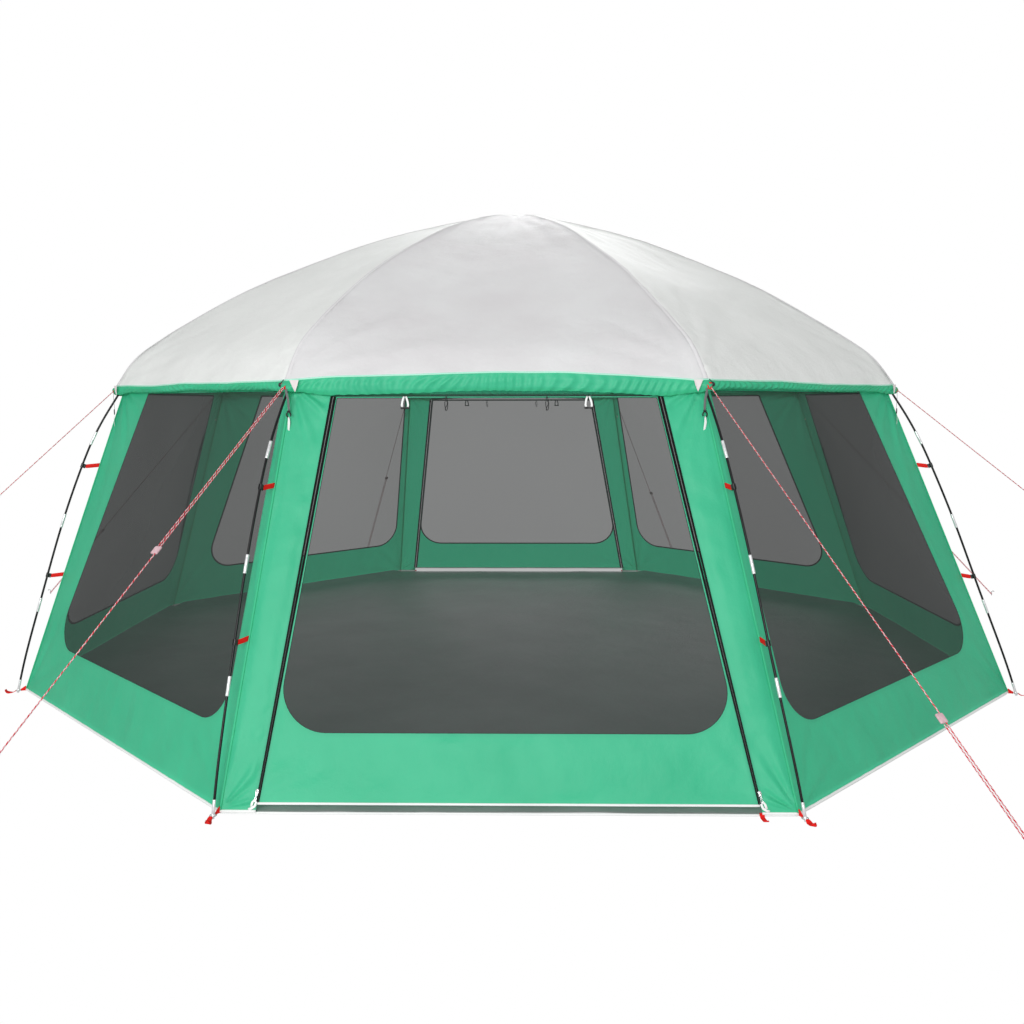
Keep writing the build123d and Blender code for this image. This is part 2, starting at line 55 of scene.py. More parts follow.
LEAN_Z = [0, 485, 640, 955, 1245, 1415, 1690, 1940, 2084, 2264, 2430, 2576, 2696, 2768, 2790]
LEAN_X = [0, -25, -32, -44, -53, -57, -60, -68, -70, -64, -54, -40, -25, -15, -12]
CORNERS = [-22.5, 22.5, 67.5, 112.5, 157.5, -157.5, -112.5, -67.5]
NAMES = ["front_left", "front_right", "right_front", "right_back", "back_right", "back_left", "left_back", "left_front"]
PEG_R = {"front_left": 4.640, "front_right": 4.390, "right_front": 4.350, "right_back": 4.300,
         "back_right": 4.350, "back_left": 4.350, "left_back": 4.300, "left_front": 4.195}
RUNNER_AT = {"front_left": 0.355, "front_right": 0.635, "right_front": 0.70, "right_back": 0.66,
             "back_right": 0.58, "back_left": 0.48, "left_back": 0.66, "left_front": 0.70}
STRAND = 0.008
ROPE_D = 0.0045


def lerp(a, b, k):
    return a + (b - a) * k


def smooth(x):
    x = max(0.0, min(1.0, x))
    return x * x * (3 - 2 * x)


class Spline:
    """Natural cubic through points."""

    def __init__(self, xs, ys):
        n = len(xs)
        a, b, c, d = [0.0] * n, [1.0] * n, [0.0] * n, [0.0] * n
        for i in range(1, n - 1):
            h0, h1 = xs[i] - xs[i - 1], xs[i + 1] - xs[i]
            a[i], b[i], c[i] = h0, 2 * (h0 + h1), h1
            d[i] = 6 * ((ys[i + 1] - ys[i]) / h1 - (ys[i] - ys[i - 1]) / h0)
        for i in range(1, n):
            m = a[i] / b[i - 1]
            b[i] -= m * c[i - 1]
            d[i] -= m * d[i - 1]
        m2 = [0.0] * n
        m2[-1] = d[-1] / b[-1]
        for i in range(n - 2, -1, -1):
            m2[i] = (d[i] - c[i] * m2[i + 1]) / b[i]
        self.xs, self.ys, self.m2 = xs, ys, m2

    def __call__(self, x):
        xs, ys, m2 = self.xs, self.ys, self.m2
        k = 0
        while k < len(xs) - 2 and x > xs[k + 1]:
            k += 1
        h = xs[k + 1] - xs[k]
        p, q = (xs[k + 1] - x) / h, (x - xs[k]) / h
        return p * ys[k] + q * ys[k + 1] + ((p ** 3 - p) * m2[k] + (q ** 3 - q) * m2[k + 1]) * h * h / 6


lean = Spline([z / 1000 for z in LEAN_Z], [x / 1000 for x in LEAN_X])


def at(angle, r, z, t=0.0, shift=None):
    a = radians(angle)
    x = lean(z) if shift is None else shift
    return Vector((r * sin(a) + t * cos(a) + x, -r * cos(a) + t * sin(a), z))


def local(angle):
    a = radians(angle)
    return Vector((sin(a), -cos(a), 0)), Vector((cos(a), sin(a), 0)), Vector((0, 0, 1))


def wall_frame(angle):
    """Origin, sideways, up the slope (with the lean, per unit of upright slope), outward."""
    o, t, up = local(angle)
    a = radians(angle)
    out, side = WALL_LEAN * sin(a), WALL_LEAN * cos(a)
    b = o * (WALL_R0 * C8 + out * WALL_Z0 / WALL_Z1) + up * WALL_Z0
    e = o * (WALL_R1 * C8 + out) + up * WALL_Z1
    n = t.cross((e - b).normalized())
    b = b + t * (side * WALL_Z0 / WALL_Z1)
    e = e + t * side
    return b, t, (e - b) / SLOPE, n


def wp(fr, u, v, n=0.0):
    return fr[0] + fr[1] * u + fr[2] * v + fr[3] * n


def edge_u(v):
    return lerp(WALL_R0, WALL_R1, v / SLOPE) * S8


def zip_u(v):
    return lerp(DOOR_U0, DOOR_U1, (v - DOOR_V0) / (DOOR_V1 - DOOR_V0))


def wall_r(z):
    return lerp(WALL_R0, WALL_R1, (z - WALL_Z0) / (WALL_Z1 - WALL_Z0))


def stations(points):
    s = [0.0]
    for p, q in zip(points, points[1:]):
        s.append(s[-1] + hypot(q[0] - p[0], q[1] - p[1]))
    return s


full = [(r / 1000, z / 1000) for r, z in POLE] + [(-r / 1000, z / 1000) for r, z in reversed(POLE[:-1])]
pst = stations(full)
ARCH_L = pst[-1]
pole_rs, pole_zs = Spline(pst, [p[0] for p in full]), Spline(pst, [p[1] for p in full])
rst = stations(ROOF + [(-r, z) for r, z in reversed(ROOF[:-1])])
roof_full = ROOF + [(-r, z) for r, z in reversed(ROOF[:-1])]
roof_rs, roof_zs = Spline(rst, [p[0] for p in roof_full]), Spline(rst, [p[1] for p in roof_full])
ROOF_L = rst[len(ROOF) - 1]


def arch_point(angle, s, drop):
    r, z = pole_rs(s), pole_zs(s)
    return at(angle, r, z + drop * max(0.0, 1 - abs(r) / 2.333))


def pole_s(z):
    lo, hi = 0.0, 2.2
    for _ in range(50):
        m = (lo + hi) / 2
        if pole_zs(m) < z:
            lo = m
        else:
            hi = m
    return lo


def nz(x, y, z=0.0):
    return noise.noise(Vector((x, y, z)))


# ------------------------------------------------------------------- materials
def mat(name, color, rough=0.6, metallic=0.0, alpha=1.0, sheen=0.0, spec=0.5):
    m = bpy.data.materials.new(name)
    m.use_nodes = True
    b = m.node_tree.nodes["Principled BSDF"]
    b.inputs["Base Color"].default_value = (*color, 1)
    b.inputs["Roughness"].default_value = rough
    b.inputs["Metallic"].default_value = metallic
    b.inputs["Alpha"].default_value = alpha
    b.inputs["Specular IOR Level"].default_value = spec
    if sheen:
        b.inputs["Sheen Weight"].default_value = sheen
        b.inputs["Sheen Roughness"].default_value = 0.5
    m.diffuse_color = (*color, alpha)
    return m


def nodes_of(m):
    return m.node_tree.nodes, m.node_tree.links, m.node_tree.nodes["Principled BSDF"]


def object_coords(m, scale=(1, 1, 1)):
    n, l, _ = nodes_of(m)
    tc = n.new("ShaderNodeTexCoord")
    mp = n.new("ShaderNodeMapping")
    mp.inputs["Scale"].default_value = scale
    l.new(tc.outputs["Object"], mp.inputs["Vector"])
    return mp.outputs["Vector"]


def mottled(m, light, dark, scale=3.0, detail=4.0, lo=0.35, hi=0.65):
    """Slow colour variation between two tones."""
    n, l, b = nodes_of(m)
    t = n.new("ShaderNodeTexNoise")
    t.inputs["Scale"].default_value = scale
    t.inputs["Detail"].default_value = detail
    l.new(object_coords(m), t.inputs["Vector"])
    r = n.new("ShaderNodeValToRGB")
    r.color_ramp.elements[0].position, r.color_ramp.elements[1].position = lo, hi
    r.color_ramp.elements[0].color, r.color_ramp.elements[1].color = (*dark, 1), (*light, 1)
    l.new(t.outputs["Fac"], r.inputs["Fac"])
    l.new(r.outputs["Color"], b.inputs["Base Color"])
    return r


def weave(m, pitch=0.0011, strength=0.25, distance=0.0004, soft=0.0):
    """Plain weave: two crossed sets of threads, with faint creases from folding."""
    n, l, b = nodes_of(m)
    vec = object_coords(m)
    outs = []
    for rot in ((0, 0, 0), (0, 0, pi / 2), (pi / 2, 0, 0)):
        mp = n.new("ShaderNodeMapping")
        mp.inputs["Rotation"].default_value = rot
        l.new(vec, mp.inputs["Vector"])
        w = n.new("ShaderNodeTexWave")
        w.wave_profile = "SIN"
        w.bands_direction = "X" if rot != (pi / 2, 0, 0) else "Z"
        w.inputs["Scale"].default_value = 0.31 / pitch
        w.inputs["Distortion"].default_value = 0.6
        l.new(mp.outputs["Vector"], w.inputs["Vector"])
        outs.append(w.outputs["Fac"])
    a = n.new("ShaderNodeMath"); a.operation = "ADD"
    l.new(outs[0], a.inputs[0]); l.new(outs[1], a.inputs[1])
    c = n.new("ShaderNodeMath"); c.operation = "ADD"
    l.new(a.outputs[0], c.inputs[0]); l.new(outs[2], c.inputs[1])
    bump = n.new("ShaderNodeBump")
    bump.inputs["Strength"].default_value = strength
    bump.inputs["Distance"].default_value = distance
    l.new(c.outputs[0], bump.inputs["Height"])
    last = bump
    if soft:
        t = n.new("ShaderNodeTexNoise")
        t.inputs["Scale"].default_value = 7.0
        t.inputs["Detail"].default_value = 5.0
        t.inputs["Roughness"].default_value = 0.55
        l.new(vec, t.inputs["Vector"])
        b2 = n.new("ShaderNodeBump")
        b2.inputs["Strength"].default_value = 0.5
        b2.inputs["Distance"].default_value = soft
        l.new(t.outputs["Fac"], b2.inputs["Height"])
        l.new(bump.outputs["Normal"], b2.inputs["Normal"])
        last = b2
    l.new(last.outputs["Normal"], b.inputs["Normal"])


def translucent(m, color, share):
    """Some of the light that falls on the far side comes through."""
    n, l, b = nodes_of(m)
    t = n.new("ShaderNodeBsdfTranslucent")
    t.inputs["Color"].default_value = (*color, 1)
    x = n.new("ShaderNodeMixShader")
    x.inputs["Fac"].default_value = share
    out = n["Material Output"]
    l.new(b.outputs["BSDF"], x.inputs[1])
    l.new(t.outputs["BSDF"], x.inputs[2])
    l.new(x.outputs["Shader"], out.inputs["Surface"])


def fabric(name, light, dark, rough=0.62, through=None, share=0.0, pitch=0.0011, soft=0.004, spec=0.4, sheen=0.15):
    m = mat(name, light, rough, sheen=sheen, spec=spec)
    mottled(m, light, dark, 2.3)
    weave(m, pitch, 0.22, 0.0004, soft)
    if share:
        translucent(m, through or light, share)
    return m


M = {}
M["roof"] = fabric("roof_polyester", (0.93, 0.94, 0.925), (0.88, 0.89, 0.875), 0.55, (0.90, 0.90, 0.89), 0.18, soft=0.020, sheen=0.0)
# painted shade: a darker copy of the roof cloth, used on the front gore and on the seam tapes
M["roof_front"] = fabric("roof_polyester_painted_shade", (0.79, 0.785, 0.795), (0.735, 0.715, 0.73), 0.55, (0.86, 0.85, 0.85), 0.18, soft=0.020, sheen=0.0)
M["green"] = fabric("wall_polyester", (0.066, 0.615, 0.340), (0.052, 0.560, 0.304), 0.44, (0.075, 0.90, 0.50), 0.34, soft=0.015, sheen=0.0)
M["green_dark"] = fabric("window_tape", (0.030, 0.060, 0.052), (0.022, 0.045, 0.040), 0.7, soft=0.0)
M["piping"] = fabric("hem_piping", (0.42, 0.80, 0.64), (0.36, 0.74, 0.58), 0.6, soft=0.0)
M["white"] = fabric("white_binding", (0.84, 0.85, 0.84), (0.76, 0.78, 0.77), 0.7, soft=0.001)
M["patch"] = fabric("corner_patch_cloth", (0.72, 0.66, 0.66), (0.66, 0.60, 0.60), 0.6, soft=0.001)
M["floor"] = fabric("groundsheet", (0.385, 0.372, 0.385), (0.335, 0.322, 0.335), 0.42, soft=0.014, spec=0.5, sheen=0.0)
M["zip"] = fabric("zip_tape_cloth", (0.009, 0.010, 0.010), (0.007, 0.008, 0.008), 0.8, pitch=0.0009, soft=0.0, spec=0.08, sheen=0.0)
M["coil"] = mat("zip_coil", (0.012, 0.013, 0.013), 0.6, spec=0.2)
mottled(M["coil"], (0.015, 0.016, 0.016), (0.010, 0.011, 0.011), 120.0)
M["red"] = fabric("red_webbing_cloth", (0.80, 0.010, 0.006), (0.66, 0.008, 0.005), 0.65, pitch=0.0022, soft=0.001, spec=0.2, sheen=0.0)
M["grey_tape"] = fabric("grey_webbing", (0.16, 0.17, 0.17), (0.12, 0.13, 0.13), 0.7, soft=0.0)
M["pole"] = mat("wrapped_fibreglass", (0.008, 0.008, 0.009), 0.34, spec=0.22)
mottled(M["pole"], (0.010, 0.010, 0.011), (0.006, 0.006, 0.007), 60.0)
M["ferrule"] = mat("ferrule_alloy", (0.78, 0.79, 0.80), 0.30, 0.55)
mottled(M["ferrule"], (0.84, 0.85, 0.86), (0.70, 0.71, 0.72), 90.0)
M["steel"] = mat("zinc_steel", (0.55, 0.55, 0.56), 0.36, 0.9)
mottled(M["steel"], (0.60, 0.60, 0.61), (0.46, 0.46, 0.47), 80.0)
M["nickel"] = mat("nickel_zip", (0.72, 0.73, 0.74), 0.22, 0.95)
mottled(M["nickel"], (0.76, 0.77, 0.78), (0.62, 0.63, 0.64), 200.0)
M["plastic"] = mat("black_acetal", (0.013, 0.013, 0.014), 0.42)
mottled(M["plastic"], (0.017, 0.017, 0.018), (0.010, 0.010, 0.011), 120.0)
M["rope_red"] = fabric("cord_red", (0.66, 0.008, 0.030), (0.54, 0.006, 0.024), 0.7, pitch=0.0007, soft=0.0, spec=0.15, sheen=0.0)
M["rope_white"] = fabric("cord_white", (0.80, 0.74, 0.75), (0.70, 0.62, 0.64), 0.7, pitch=0.0007, soft=0.0)
M["elastic"] = fabric("elastic_cord", (0.02, 0.021, 0.021), (0.03, 0.031, 0.031), 0.6, pitch=0.0008, soft=0.0)
M["stitch"] = fabric("stitching", (0.045, 0.42, 0.25), (0.035, 0.34, 0.20), 0.7, pitch=0.0008, soft=0.0)


def netting(name, color, alpha):
    m = mat(name, color, 0.75, alpha=alpha, spec=0.2)
    mottled(m, tuple(c * 1.12 for c in color), tuple(c * 0.9 for c in color), 1.3, 2.0)
    # holes close up as the cloth turns away from the eye
    n, l, b = nodes_of(m)
    g = n.new("ShaderNodeNewGeometry")
    dot = n.new("ShaderNodeVectorMath"); dot.operation = "DOT_PRODUCT"
    l.new(g.outputs["Incoming"], dot.inputs[0]); l.new(g.outputs["Normal"], dot.inputs[1])
    facing = n.new("ShaderNodeMath"); facing.operation = "ABSOLUTE"
    l.new(dot.outputs["Value"], facing.inputs[0])
    floor_ = n.new("ShaderNodeMath"); floor_.operation = "MAXIMUM"; floor_.inputs[1].default_value = 0.08
    l.new(facing.outputs[0], floor_.inputs[0])
    inv = n.new("ShaderNodeMath"); inv.operation = "POWER"; inv.inputs[1].default_value = -0.7
    l.new(floor_.outputs[0], inv.inputs[0])
    open_ = n.new("ShaderNodeMath"); open_.operation = "POWER"; open_.inputs[0].default_value = 1 - alpha
    l.new(inv.outputs[0], open_.inputs[1])
    cover = n.new("ShaderNodeMath"); cover.operation = "SUBTRACT"; cover.inputs[0].default_value = 1.0
    l.new(open_.outputs[0], cover.inputs[1])
    l.new(cover.outputs[0], b.inputs["Alpha"])
    return m


M["runner"] = mat("runner_plastic", (0.62, 0.42, 0.45), 0.45)
mottled(M["runner"], (0.66, 0.46, 0.49), (0.54, 0.34, 0.38), 80.0)
M["net"] = netting("insect_netting", (0.030, 0.034, 0.033), 0.55)


# ---------------------------------------------------------------- mesh builders
def build(name, verts, faces, mats, idx=None, shade=True, body=ROOT):
    me = bpy.data.meshes.new(name)
    me.from_pydata([tuple(v) for v in verts], [], faces)
    for m in (mats if isinstance(mats, (list, tuple)) else [mats]):
        me.materials.append(m)
    if idx is not None:
        me.polygons.foreach_set("material_index", idx)
    me.polygons.foreach_set("use_smooth", [shade] * len(me.polygons))
    me.update()
    me.validate()
    o = bpy.data.objects.new(name, me)
    bpy.context.scene.collection.objects.link(o)
    return o


class Soup:
    """Gathers several shapes into one mesh."""

    def __init__(self):
        self.v, self.f, self.i = [], [], []

    def add(self, verts, faces, index=0):
        k = len(self.v)
        self.v += [Vector(v) for v in verts]
        self.f += [[k + a for a in f] for f in faces]
        self.i += [index] * len(faces)

    def grid(self, rows, index=0, wrap=False, flip=False):
        """Quads over rows of points, all of one length."""
        n = len(rows[0])
        verts = [p for row in rows for p in row]
        faces = []
        for a in range(len(rows) - 1):
            for b in range(n if wrap else n - 1):
                c = (b + 1) % n
                q = [a * n + b, a * n + c, (a + 1) * n + c, (a + 1) * n + b]
                faces.append(q[::-1] if flip else q)
        self.add(verts, faces, index)

    def tube(self, pts, radius, sides=10, index=0, caps=True, radii=None):
        pts = [Vector(p) for p in pts]
        rings = []
        prev = None
        for k, p in enumerate(pts):
            d = (pts[min(k + 1, len(pts) - 1)] - pts[max(k - 1, 0)]).normalized()
            if prev is None:
                ref = Vector((0, 0, 1)) if abs(d.z) < 0.9 else Vector((1, 0, 0))
                x = (ref - d * ref.dot(d)).normalized()
            else:
                x = (prev - d * prev.dot(d)).normalized()
            prev = x
            y = d.cross(x)
            r = radii[k] if radii else radius
            rings.append([p + x * (r * cos(2 * pi * j / sides)) + y * (r * sin(2 * pi * j / sides)) for j in range(sides)])
        k0 = len(self.v)
        self.grid(rings, index, wrap=True)
        if caps:
            self.f += [[k0 + j for j in range(sides)][::-1], [k0 + (len(pts) - 1) * sides + j for j in range(sides)]]
            self.i += [index, index]

    def strap(self, pts, widths, normals, thick, index=0):
        """Flat webbing along points: width direction from the normals, closed, with rounded edges."""
        pts = [Vector(p) for p in pts]
        rings = []
        for k, p in enumerate(pts):
            d = (pts[min(k + 1, len(pts) - 1)] - pts[max(k - 1, 0)]).normalized()
            n = Vector(normals[k] if isinstance(normals, list) else normals)
            n = (n - d * n.dot(d)).normalized()
            x = d.cross(n)
            w = (widths[k] if isinstance(widths, list) else widths) / 2
            h = thick / 2
            c = min(h, w * 0.2)
            rings.append([p + x * a + n * b for a, b in ((-w, -h * .4), (-w + c, -h), (w - c, -h), (w, -h * .4), (w, h * .4), (w - c, h), (-w + c, h), (-w, h * .4))])
        k0 = len(self.v)
        self.grid(rings, index, wrap=True)
        self.f += [[k0 + j for j in range(8)][::-1], [k0 + (len(pts) - 1) * 8 + j for j in range(8)]]
        self.i += [index, index]

    def revolve(self, origin, axis, profile, sides=20, index=0):
        """Closed turned shape: profile is (distance along the axis, radius) from end to end."""
        axis = Vector(axis).normalized()
        ref = Vector((0, 0, 1)) if abs(axis.z) < 0.9 else Vector((1, 0, 0))
        x = (ref - axis * ref.dot(axis)).normalized()
        y = axis.cross(x)
        origin = Vector(origin)
        rings = [[origin + axis * s + x * (r * cos(2 * pi * j / sides)) + y * (r * sin(2 * pi * j / sides)) for j in range(sides)] for s, r in profile]
        k0 = len(self.v)
        self.grid(rings, index, wrap=True)
        self.f += [[k0 + j for j in range(sides)][::-1], [k0 + (len(profile) - 1) * sides + j for j in range(sides)]]
        self.i += [index, index]

    def done(self, name, mats, body=ROOT, shade=True, auto=None):
        o = build(name, self.v, self.f, mats, self.i, shade)
        if auto is not None:
            bm = bmesh.new()
            bm.from_mesh(o.data)
            for e in bm.edges:
                if len(e.link_faces) == 2 and e.calc_face_angle(0) > radians(auto):
                    e.smooth = False
            bm.to_mesh(o.data)
            bm.free()
        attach(o, body)
        return o


# ---------------------------------------------------------------------- camera
F_PX, PITCH, YAW, ROLL = 958.668, 0.1129, -0.0146, -0.0014
CAM = Vector((0.0689, -6.3215, 1.6057))
c, s, cp, sp = cos(YAW), sin(YAW), cos(PITCH), sin(PITCH)
fwd, right, up = Vector((s * cp, c * cp, -sp)), Vector((c, -s, 0)), Vector((s * sp, c * sp, cp))
cr, sr = cos(ROLL), sin(ROLL)
r2, u2 = right * cr + up * sr, up * cr - right * sr
cam_data = bpy.data.cameras.new("camera")
cam_data.sensor_width = 36.0
cam_data.lens = F_PX * 36.0 / 1024.0
cam_data.clip_end = 200
cam = bpy.data.objects.new("camera", cam_data)
cam.matrix_world = Matrix(((r2.x, u2.x, -fwd.x, CAM.x), (r2.y, u2.y, -fwd.y, CAM.y), (r2.z, u2.z, -fwd.z, CAM.z), (0, 0, 0, 1)))
bpy.context.scene.collection.objects.link(cam)
bpy.context.scene.camera = cam

# ------------------------------------------------------------------- guy ropes
def nurbs_points(way):
    """Points of a smooth line through the control points of a route."""
    cu = bpy.data.curves.new("route", "CURVE")
    cu.dimensions = "3D"
    cu.resolution_u = 24
    sp_ = cu.splines.new("NURBS")
    sp_.points.add(len(way) - 1)
    for p, q in zip(sp_.points, way):
        p.co = (*q, 1)
    sp_.order_u = 3
    sp_.use_endpoint_u = True
    ob = bpy.data.objects.new("route", cu)
    bpy.context.scene.collection.objects.link(ob)
    dg = bpy.context.evaluated_depsgraph_get()
    me = bpy.data.meshes.new_from_object(ob.evaluated_get(dg))
    pts = [v.co.copy() for v in me.vertices]
    bpy.data.objects.remove(ob)
    bpy.data.curves.remove(cu)
    bpy.data.meshes.remove(me)
    return pts


def resample(pts, step):
    acc = [0.0]
    for p, q in zip(pts, pts[1:]):
        acc.append(acc[-1] + (q - p).length)
    L = acc[-1]
    n = max(2, int(L / step))
    out, k = [], 0
    for i in range(n + 1):
        t = L * i / n
        while k < len(acc) - 2 and acc[k + 1] < t:
            k += 1
        h = acc[k + 1] - acc[k]
        out.append(pts[k].lerp(pts[k + 1], 0 if h == 0 else (t - acc[k]) / h))
    return out, L


ropes = {}
for ang, name in zip(CORNERS, NAMES):
    o, t, up_ = local(ang)
    a = at(ang, 2.379, 1.674)
    tip = at(ang, PEG_R[name], 0.012)
    d = (tip - a).normalized()
    t = (t - d * t.dot(d)).normalized()
    L = (tip - a).length
    sr_ = L * RUNNER_AT[name]
    pt = lambda q, w, a=a, d=d, t=t: a + d * q + t * w
    ST = 0.0055
    turn = [pt(L - 0.030, ST), pt(L + ST, ST), pt(L + ST, -ST), pt(L - 0.030, -ST)]
    if name == "front_left":
        way = [pt(sr_ - 0.022, -ST), pt(sr_ - 0.060, -ST), pt(0.030, -ST), pt(-0.001, -ST), pt(-0.001, ST), pt(0.030, ST)] + turn[:3] + [pt(L - 0.060, -ST)]
        way[-1] = pt(L - 0.060, -ST)
    else:
        way = [pt(-0.003, ST), pt(0.040, ST)] + turn + [pt(sr_ + 0.060, -ST), pt(sr_ + 0.022, -ST)]
    line = nurbs_points(way)
    pts, length = resample(line, 0.0042)
    sides = 8
    rings, prev = [], None
    soup = Soup()
    for k, p in enumerate(pts):
        dd = (pts[min(k + 1, len(pts) - 1)] - pts[max(k - 1, 0)]).normalized()
        x = up_ if prev is None else prev
        x = (x - dd * x.dot(dd)).normalized()
        prev = x
        y = dd.cross(x)
        ring = []
        for j in range(sides):
            ph = 2 * pi * j / sides
            r = ROPE_D / 2 * (1.0 + 0.06 * sin(2 * ph + k * 0.75))
            ring.append(p + x * (r * cos(ph)) + y * (r * sin(ph)))
        rings.append(ring)
    faces, idx, verts = [], [], [q for ring in rings for q in ring]
    for k in range(len(rings) - 1):
        for j in range(sides):
            j2 = (j + 1) % sides
            faces.append([k * sides + j, k * sides + j2, (k + 1) * sides + j2, (k + 1) * sides + j])
            idx.append(1 if (j + k) % 4 == 0 or (j - k) % 8 == 3 else 0)
    faces += [[j for j in range(sides)][::-1], [(len(rings) - 1) * sides + j for j in range(sides)]]
    idx += [0, 0]
    rope = build(f"guy_rope_{name}_braid", verts, faces, [M["rope_red"], M["rope_white"]], idx)
    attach(rope, ROOT)
    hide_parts(f"guy_rope_{name}")
    ropes[name] = (rope, length, line, way, d, L, sr_, pt)

# ------------------------------------------------------------------------ roof
NA, NP = 44, 90            # columns in a gore, rows along the profile


def roof_point(ang0, x, q):
    """Cloth of one gore: x across from seam to seam, q from hem to crown."""
    s = ROOF_L * q
    r, z = max(roof_rs(s), 0.0), roof_zs(s)
    p = at(ang0, r, z).lerp(at(ang0 + 45, r, z), x)
    mid = 4 * x * (1 - x)
    # drawn in between the arches, most of all half way up, and tight at hem and crown
    dr, dz = roof_rs(s + 0.004) - roof_rs(s - 0.004), roof_zs(s + 0.004) - roof_zs(s - 0.004)
    ln = hypot(dr, dz)
    a = ang0 + 22.5
    o, t, up_ = local(a)
    nrm = o * (dz / ln) + up_ * (-dr / ln)
    sag = 0.030 * mid * max(0.0, sin(pi * min(1.0, q * 1.14))) ** 0.8 if 0 < q < 1 else 0.0
    p = p - nrm * sag
    # the hem is cut to a shallow arch
    p.z += (0.032 if ang0 in (-22.5, 157.5) else -0.002) * mid * (1 - smooth(q / 0.10))
    # the arches stand up a little under the seams
    e = min(x, 1 - x) * 2 * r * S8
    p = p + nrm * (0.004 * exp(-(e / 0.018) ** 2)) * (1 - smooth((q - 0.93) / 0.07))
    # tension folds from the eave corners and loose cloth near the hem
    hem = s
    d1 = hypot(e, hem)
    side = 1 if x < 0.5 else -1
    fan = math.atan2(hem, e + 1e-6)
    seed = ang0 * 0.37 + side * 11.3
    w = smooth(e / 0.05)
    fold = sin(fan * 13 + seed) * 0.6 + sin(fan * 23 + seed * 2.1) * 0.4
    crease = (1 - abs(sin(fan * 9.5 + seed * 1.3))) ** 5 * exp(-((d1 - 0.16) / 0.30) ** 2)
    p = p + nrm * (w * (0.0115 * fold * exp(-d1 / 0.42) + 0.0075 * crease) * smooth(hem / 0.03) * (1 - exp(-(fan * 1.6) ** 2) * 0.3))
    # short cross puckers along the seams
    p = p + nrm * (0.0022 * sin(s / 0.034 + 1.9 * nz(s * 5, seed)) * exp(-((e - 0.035) / 0.030) ** 2) * smooth((1 - q) / 0.10) * (0.5 + nz(s * 2.2, seed * 1.7)))
    wide = nz(x * 3.1 + ang0, q * 4.3, 1.7)
    fine = nz(x * 9.0 + ang0, q * 13.0, 5.1)
    p = p + nrm * ((0.0150 * wide + 0.0060 * fine) * w * smooth((1 - q) / 0.08))
    p.x += 0.055 * exp(-(r / 0.16) ** 2)
    p.z += 0.010 * exp(-(r / 0.10) ** 2)
    return p


verts, faces, index = [], [], {}
for g in range(8):
    for i in range(NA):
        for k in range(NP):
            q = k / NP
            index[(g * NA + i, k)] = len(verts)
            verts.append(roof_point(CORNERS[g], i / NA, q))
top = len(verts)
verts.append(Vector((lean(ROOF[-1][1]) + 0.055, 0, ROOF[-1][1] + 0.011)))
NC = 8 * NA
for c_ in range(NC):
    for k in range(NP - 1):
        faces.append([index[(c_, k)], index[((c_ + 1) % NC, k)], index[((c_ + 1) % NC, k + 1)], index[(c_, k + 1)]])
    faces.append([index[(c_, NP - 1)], index[((c_ + 1) % NC, NP - 1)], top])
shaded_gore_idx = [1 if f_[0] < NA * NP else 0 for f_ in faces]       # painted shade: the front gore gets a darker copy of the same roof cloth
roof = build("roof_canopy_cloth", verts, faces, [M["roof"], M["roof_front"]], shaded_gore_idx)
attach(roof, ROOT)
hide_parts("roof_canopy")
gore = sum(2 * max(0.0, roof_rs(ROOF_L * (k + 0.5) / 400)) * S8 * ROOF_L / 400 for k in range(400))

# seams over the arches: a narrow raised strip along each arch
seams = Soup()
for g in range(8):
    rows = []
    for k in range(0, NP * 2 - 3):
        q = k / (NP * 2)
        row = []
        s = ROOF_L * q
        r = max(roof_rs(s), 0.0)
        half = min(0.010, r * 0.3)
        for off in (-half, -half * 0.86, 0, half * 0.86, half):
            x = abs(off) / (2 * r * S8)
            base = roof_point(CORNERS[g], x, q) if off >= 0 else roof_point(CORNERS[g] - 45, 1 - x, q)
            dr, dz = roof_rs(s + 0.004) - roof_rs(s - 0.004), roof_zs(s + 0.004) - roof_zs(s - 0.004)
            ln = hypot(dr, dz)
            o, t, up_ = local(CORNERS[g])
            nrm = o * (dz / ln) + up_ * (-dr / ln)
            row.append(base + nrm * (0.0016 if abs(off) < half * 0.95 else 0.0003))
        rows.append(row)
    seams.grid(rows)
# painted shade: the seam tapes take the darker roof copy to tone down their lit edges
seams.done("roof_seam_tapes", M["roof_front"])

# ----------------------------------------------- hem piping, gathered valance
def hem_point(g, x):
    return roof_point(CORNERS[g], x, 0.0)


pipe = Soup()
ring = []
for g in range(8):
    for i in range(40):
        p = hem_point(g, i / 40)
        o, t, u_ = local(CORNERS[g] + 22.5)
        ring.append(p + Vector((0, 0, -0.004)))
rows = []
for k in range(len(ring)):
    a_, b_, c_ = ring[k - 1], ring[k], ring[(k + 1) % len(ring)]
    d = (c_ - a_).normalized()
    out = Vector((b_.x - lean(b_.z), b_.y, 0)).normalized()
    out = (out - d * out.dot(d)).normalized()
    n2 = d.cross(out)
    rows.append([b_ + out * (0.0042 * cos(2 * pi * j / 8)) + n2 * (0.0042 * sin(2 * pi * j / 8)) for j in range(8)])
rows.append(rows[0])
pipe.grid(rows, wrap=True)
pipe.done("roof_hem_piping", M["piping"])

